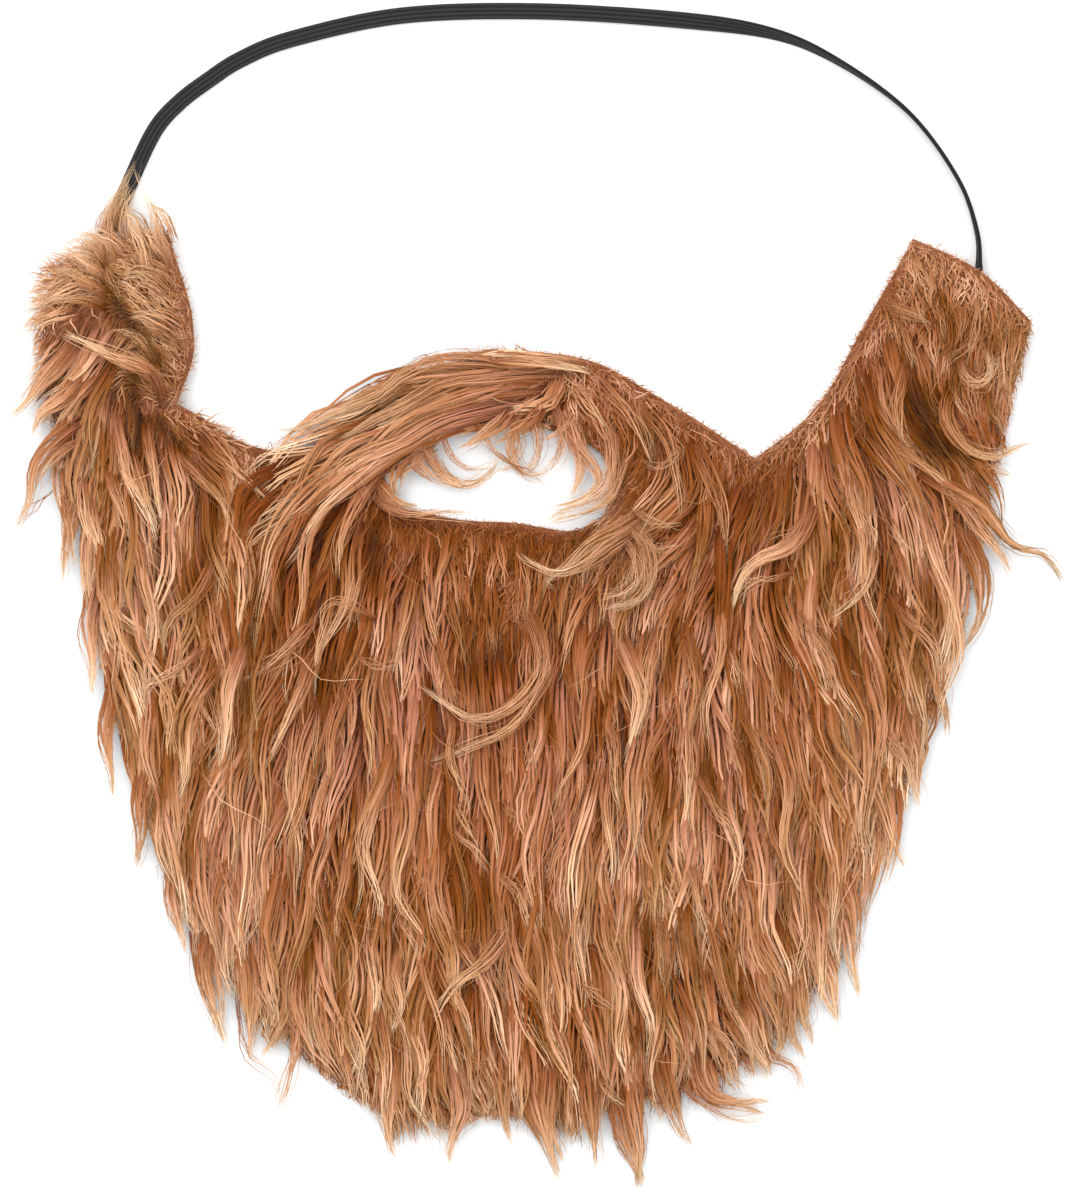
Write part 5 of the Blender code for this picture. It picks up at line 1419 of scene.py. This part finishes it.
def colour(code):
    """Linear colour of an sRGB hex code."""
    values = [int(code[index:index + 2], 16) / 255 for index in (1, 3, 5)]
    return tuple(v / 12.92 if v <= 0.04045 else ((v + 0.055) / 1.055) ** 2.4 for v in values) + (1.0,)


def fill_sockets(material, node, inputs):
    """Gives sockets their values, or links them to another node's socket or first output."""
    for name, value in inputs.items():
        if isinstance(value, bpy.types.Node):
            value = value.outputs[0]
        if isinstance(value, bpy.types.NodeSocket):
            material.node_tree.links.new(value, node.inputs[name])
        else:
            node.inputs[name].default_value = value


def add_node(material, kind, inputs, stops=(), **settings):
    """A node with its settings, its sockets filled and, on a ramp, its stops: places and hex colours."""
    node = material.node_tree.nodes.new("ShaderNode" + kind)
    for name, value in settings.items():
        setattr(node, name, value)
    fill_sockets(material, node, inputs)
    while stops and len(node.color_ramp.elements) < len(stops):
        node.color_ramp.elements.new(0.5)
    for number, (place, code) in enumerate(stops):
        node.color_ramp.elements[number].position = place
        node.color_ramp.elements[number].color = colour(code)
    return node


def new_material(name):
    material = bpy.data.materials.new(name)
    material.use_nodes = True
    return material, material.node_tree.nodes["Principled BSDF"]


def acrylic_pile():
    """Acrylic pile fibre, extruded and crimped: a soft satin gleam, light at the tip and dark at the root,
    where the dark is partly painted shade deep in the pile.

    hair_run: millimetres across a wisp, metres along it, and ripeness from root to tip. hair_tint: tone,
    gold, warmth, and the light that the painted shade of a parting leaves."""
    material, shader = new_material("acrylic_pile")
    run = add_node(material, "Attribute", {}, attribute_name="hair_run")
    tint = add_node(material, "Attribute", {}, attribute_name="hair_tint")
    where = add_node(material, "SeparateXYZ", {"Vector": run.outputs["Vector"]})
    tones = add_node(material, "SeparateColor", {"Color": tint.outputs["Color"]})
    ripe = where.outputs["Z"]
    # the roots' dark stands partly for painted shade deep in the pile
    plain = add_node(material, "ValToRGB", {"Fac": ripe},
                     ((0.0, "#6e3218"), (0.25, "#96502c"), (0.60, "#b87149"), (1.0, "#d69d72")))
    light = add_node(material, "ValToRGB", {"Fac": ripe},
                     ((0.0, "#6e381e"), (0.30, "#a8663f"), (0.60, "#d69c70"), (1.0, "#f6d2a8")))
    gilded = add_node(material, "Mix", {0: tones.outputs["Green"], MIX_A: plain, MIX_B: light},
                      data_type="RGBA")
    across, along = FIBRE_STREAK
    streaks = add_node(material, "VectorMath",
                       {0: run.outputs["Vector"], 1: (1 / (across * MILLIMETRES), 1 / along, 0.0)},
                       operation="MULTIPLY")
    noise = add_node(material, "TexNoise",
                     {"Vector": streaks, "Scale": 1.0, "Detail": 3.0, "Roughness": 0.6})
    shade = add_node(material, "MapRange",
                     {"Value": noise, "From Min": 0.3, "From Max": 0.7, "To Min": 0.58, "To Max": 1.38})
    tone = add_node(material, "MapRange",
                    {"Value": tones.outputs["Red"], "To Min": 0.54, "To Max": 1.35})
    value = add_node(material, "Math", {0: shade, 1: tone}, operation="MULTIPLY")
    # painted shade of the partings, from hair_tint's fourth value
    lit = add_node(material, "Math", {0: value, 1: tint.outputs["Alpha"]}, operation="MULTIPLY")
    rich = add_node(material, "MapRange",
                    {"Value": lit, "From Min": 0.35, "From Max": 1.35, "To Min": 1.20, "To Max": 0.85})
    warm = add_node(material, "MapRange",
                    {"Value": tones.outputs["Blue"], "To Min": 0.5002, "To Max": 0.5032})
    toned = add_node(material, "HueSaturation",
                     {"Hue": warm, "Saturation": rich, "Value": lit, "Color": gilded.outputs[2]})
    bump = add_node(material, "Bump", {"Height": noise, "Strength": 0.3, "Distance": 0.0006})
    fill_sockets(material, shader, {"Base Color": toned, "Roughness": 0.50, "IOR": 1.50,
                                    "Specular IOR Level": 0.13, "Normal": bump})
    return material


def modacrylic_underfur():
    """Short modacrylic underfur, felted: dull, its colour darkened as painted shade where it shows between
    the locks.
    """
    material, shader = new_material("modacrylic_underfur")
    place = add_node(material, "TexCoord", {})
    noise = add_node(material, "TexNoise",
                     {"Vector": place.outputs["Object"], "Scale": 1 / FELT_GRAIN, "Detail": 3.0})
    # darkened colours: painted shade between the locks
    tint = add_node(material, "ValToRGB", {"Fac": noise},
                    ((0.30, "#713c20"), (0.50, "#8e5230"), (0.70, "#ac6d43")))
    bump = add_node(material, "Bump", {"Height": noise, "Strength": 0.9, "Distance": 0.0008})
    fill_sockets(material, shader, {"Base Color": tint, "Roughness": 0.9, "Normal": bump})
    return material


def knitted_polyester():
    """Warp-knitted polyester backing: rows of small loops, matt, dyed near the pile's colour; the loops' tops
    are painted lighter as painted highlight and the dips between them darker as painted shade.
    """
    material, shader = new_material("knitted_polyester")
    place = add_node(material, "TexCoord", {})
    parts = add_node(material, "SeparateXYZ", {"Vector": place.outputs["Object"]})
    waves = []
    for axis, spacing in (("Y", KNIT_ROW), ("X", KNIT_WALE)):
        turns = add_node(material, "Math", {0: parts.outputs[axis], 1: 2 * math.pi / spacing},
                         operation="MULTIPLY")
        waves.append(add_node(material, "Math", {0: turns}, operation="SINE"))
    loops = add_node(material, "Math", {0: waves[0], 1: waves[1]}, operation="MULTIPLY")
    height = add_node(material, "MapRange", {"Value": loops, "From Min": -1.0, "From Max": 1.0})
    # painted highlight on the loops' tops and painted shade in the dips, following their bump height
    tint = add_node(material, "ValToRGB", {"Fac": height},
                    ((0.0, "#7a4a30"), (0.5, "#a06a48"), (1.0, "#c79a78")))
    bump = add_node(material, "Bump", {"Height": height, "Strength": 0.6, "Distance": 0.0004})
    fill_sockets(material, shader, {"Base Color": tint, "Roughness": 0.85, "Normal": bump})
    return material


def undyed_polyester_yarn():
    """Undyed spun polyester yarn of the backing, matt and pale where the cloth was cut."""
    material, shader = new_material("undyed_polyester_yarn")
    fill_sockets(material, shader, {"Base Color": colour("#d9bfa4"), "Roughness": 0.8})
    return material


def braided_elastic():
    """Braided polyester over rubber cores: matt black with a fine chevron of yarns on each cord, the yarns'
    crests painted lighter as painted highlight and the grooves between the cords painted near black as
    painted shade.

    strap_run: half cords across the strap, metres along it."""
    material, shader = new_material("braided_elastic")
    run = add_node(material, "Attribute", {}, attribute_name="strap_run")
    parts = add_node(material, "SeparateXYZ", {"Vector": run.outputs["Vector"]})
    crest = add_node(material, "Math", {0: parts.outputs["X"], 1: 1.0}, operation="PINGPONG")
    slant = add_node(material, "Math", {0: crest, 1: BRAID_YARN}, operation="MULTIPLY")
    moved = add_node(material, "Math", {0: parts.outputs["Y"], 1: slant}, operation="ADD")
    turns = add_node(material, "Math", {0: moved, 1: 2 * math.pi / BRAID_YARN}, operation="MULTIPLY")
    wave = add_node(material, "Math", {0: turns}, operation="SINE")
    height = add_node(material, "MapRange", {"Value": wave, "From Min": -1.0, "From Max": 1.0})
    # painted highlight on the yarns' raised crests, painted shade in their dips
    tint = add_node(material, "ValToRGB", {"Fac": height},
                    ((0.0, "#171718"), (0.6, "#2c2c2e"), (1.0, "#444447")))
    # painted shade: the grooves between the cords are painted near black
    unshaded_share = add_node(material, "MapRange",
                          {"Value": crest, "From Min": 0.15, "From Max": 0.9, "To Min": 0.12, "To Max": 1.0})
    cords = add_node(material, "Mix", {0: unshaded_share, MIX_A: colour("#060607"), MIX_B: tint},
                     data_type="RGBA")
    bump = add_node(material, "Bump", {"Height": height, "Strength": 0.5, "Distance": 0.00025})
    fill_sockets(material, shader, {"Base Color": cords.outputs[2], "Roughness": 0.7,
                                    "Specular IOR Level": 0.25, "Normal": bump})
    return material


def underside_near(x, y):
    """Lowest height of the cloth's underside around a place, or nothing where the cloth isn't over it."""
    reach, below, upward = STRAP_WIDTH * 0.7, -1.0, Vector((0.0, 0.0, 1.0))
    places = [(x + right * reach, y + ahead * reach) for right in (-1, 0, 1) for ahead in (-1, 0, 1)]
    hits = [CLOTH_SOLID.ray_cast(Vector((*place, below)), upward)[0] for place in places]
    if any(hits):
        return min(hit.z if hit else float(cloth_lift(np.array(place))) for hit, place in zip(hits, places))


def cord_section():
    """The strap's outline across and out: lobes of the cords above and below, with grooves between."""
    section = []
    for half in (1, -1):
        for index in range(STRAP_CORDS * CORD_STEPS):
            share = (index + 0.5) / (STRAP_CORDS * CORD_STEPS)
            lobe = abs(math.sin(math.pi * share * STRAP_CORDS)) ** CORD_FLATNESS
            thickness = STRAP_THICKNESS / 2 * (GROOVE + (1 - GROOVE) * lobe)
            section.append((half * (share - 0.5) * -STRAP_WIDTH, half * thickness))
    return section


def make_strap(material):
    """The elastic on the frame's route: four round cords side by side, seated behind both tabs."""
    rows = np.array([(across * BEARD_WIDTH, TAB_TOP + up * STRAP_RISE - down * BEARD_LENGTH, roll, sewn)
                     for _, across, up, down, roll, sewn in STRAP])
    route = curve_through(np.concatenate((rows[:1], rows, rows[-1:])), STRAP_STEPS)
    run = run_along(route[:, :2])
    wanted = np.linspace(0, run[-1], STRAP_STATIONS)
    x, y, roll, sewn = read_along(route, run, wanted).T
    angle = np.radians(roll)
    half_height = (STRAP_WIDTH * abs(np.sin(angle)) + STRAP_THICKNESS * abs(np.cos(angle))) / 2
    height = half_height.copy()
    for index in range(STRAP_STATIONS):
        room = underside_near(x[index], y[index])
        if room is not None:
            height[index] += max(room - GAP - 2 * half_height[index], 0) * smooth_step(sewn[index])
    padded = np.pad(height, SETTLED_OVER // 2, mode="edge")
    settled = np.convolve(padded, np.ones(SETTLED_OVER) / SETTLED_OVER, "valid")
    middle = np.column_stack((x, y, np.maximum(half_height, settled)))
    way = np.gradient(middle, axis=0)
    way[:, 2] = 0
    way = unit(way, 0.0)
    level = np.column_stack((turned_left(way), way[:, 2]))
    up = np.array((0.0, 0.0, 1.0))
    cosine, sine = np.cos(angle)[:, None], np.sin(angle)[:, None]
    side, face = level * cosine + up * sine, up * cosine - level * sine
    section = cord_section()
    rings = np.stack([middle + side * across + face * out for across, out in section], 1)
    around = len(section)
    faces = [tuple(range(around))[::-1], tuple(range((STRAP_STATIONS - 1) * around, STRAP_STATIONS * around))]
    for station in range(STRAP_STATIONS - 1):
        for turn in range(around):
            a, b = station * around + turn, station * around + (turn + 1) % around
            faces.append((a, b, b + around, a + around))
    mesh = bpy.data.meshes.new("head_elastic")
    mesh.from_pydata(rings.reshape(-1, 3).tolist(), [], faces)
    across = np.array([point[0] for point in section]) / STRAP_WIDTH * STRAP_CORDS * 2
    values = np.stack(np.broadcast_arrays(across[None], wanted[:, None], 0.0), -1)
    keep_values(mesh, "strap_run", "FLOAT_VECTOR", values)
    mesh.shade_smooth()
    shown("head_elastic", mesh, material, "elastic", "elastic_strap")


def make_floor():
    """Matt white card, coated paper that the beard lies on: an even pale ground with no gleam."""
    bpy.ops.mesh.primitive_plane_add(size=FLOOR_SIDE)
    floor = bpy.context.object
    floor.name = "floor"
    material, shader = new_material("matt_white_card")
    fill_sockets(material, shader, {"Base Color": colour("#f8f8f8"), "Roughness": 0.95,
                                    "Specular IOR Level": 0.1})
    floor.data.materials.append(material)
    return floor


def make_camera():
    """Straight above the table, as the picture was taken."""
    camera = bpy.data.objects.new("camera", bpy.data.cameras.new("camera"))
    bpy.context.scene.collection.objects.link(camera)
    camera.data.sensor_width = SENSOR_WIDTH
    camera.data.lens = SENSOR_WIDTH * CAMERA_HEIGHT / (PICTURE_ROWS * PIXEL)
    middle = spot(PICTURE_COLUMNS / 2, PICTURE_ROWS / 2)
    camera.location = (middle[0], middle[1], CAMERA_HEIGHT)
    bpy.context.scene.camera = camera


def make_light():
    """A bright even studio with two large soft lamps that look at the beard."""
    world = bpy.data.worlds.new("studio")
    world.use_nodes = True
    world.node_tree.nodes["Background"].inputs["Color"].default_value = (1, 1, 1, 1)
    world.node_tree.nodes["Background"].inputs["Strength"].default_value = WORLD_STRENGTH
    bpy.context.scene.world = world
    for name, place, side, power in LIGHTS:
        light = bpy.data.objects.new(name, bpy.data.lights.new(name, "AREA"))
        light.data.size = side
        light.data.energy = power
        light.location = place
        light.rotation_euler = (-Vector(place)).to_track_quat("-Z", "Y").to_euler()
        bpy.context.scene.collection.objects.link(light)
    bpy.context.scene.view_settings.view_transform = "Standard"


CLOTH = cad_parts["backing_cloth"]
CLOTH_EDGE, MOUTH_EDGE = (rounded(loop, EDGE_PIECES) for loop in cut_edges(CLOTH)[:2])
CLOTH_SOLID = BVHTree.FromObject(CLOTH, bpy.context.evaluated_depsgraph_get())
depth_at = gridded(cut_depth)
combed_at = gridded(combed)
painted_parting_shade_at = gridded(painted_parting_shade)
glow_at = gridded(glow)

make_camera()
make_light()
make_backing(knitted_polyester(), make_floor())
make_cut_edge(undyed_polyester_yarn())
make_underfur(modacrylic_underfur())
make_fur(acrylic_pile())
make_strap(braided_elastic())
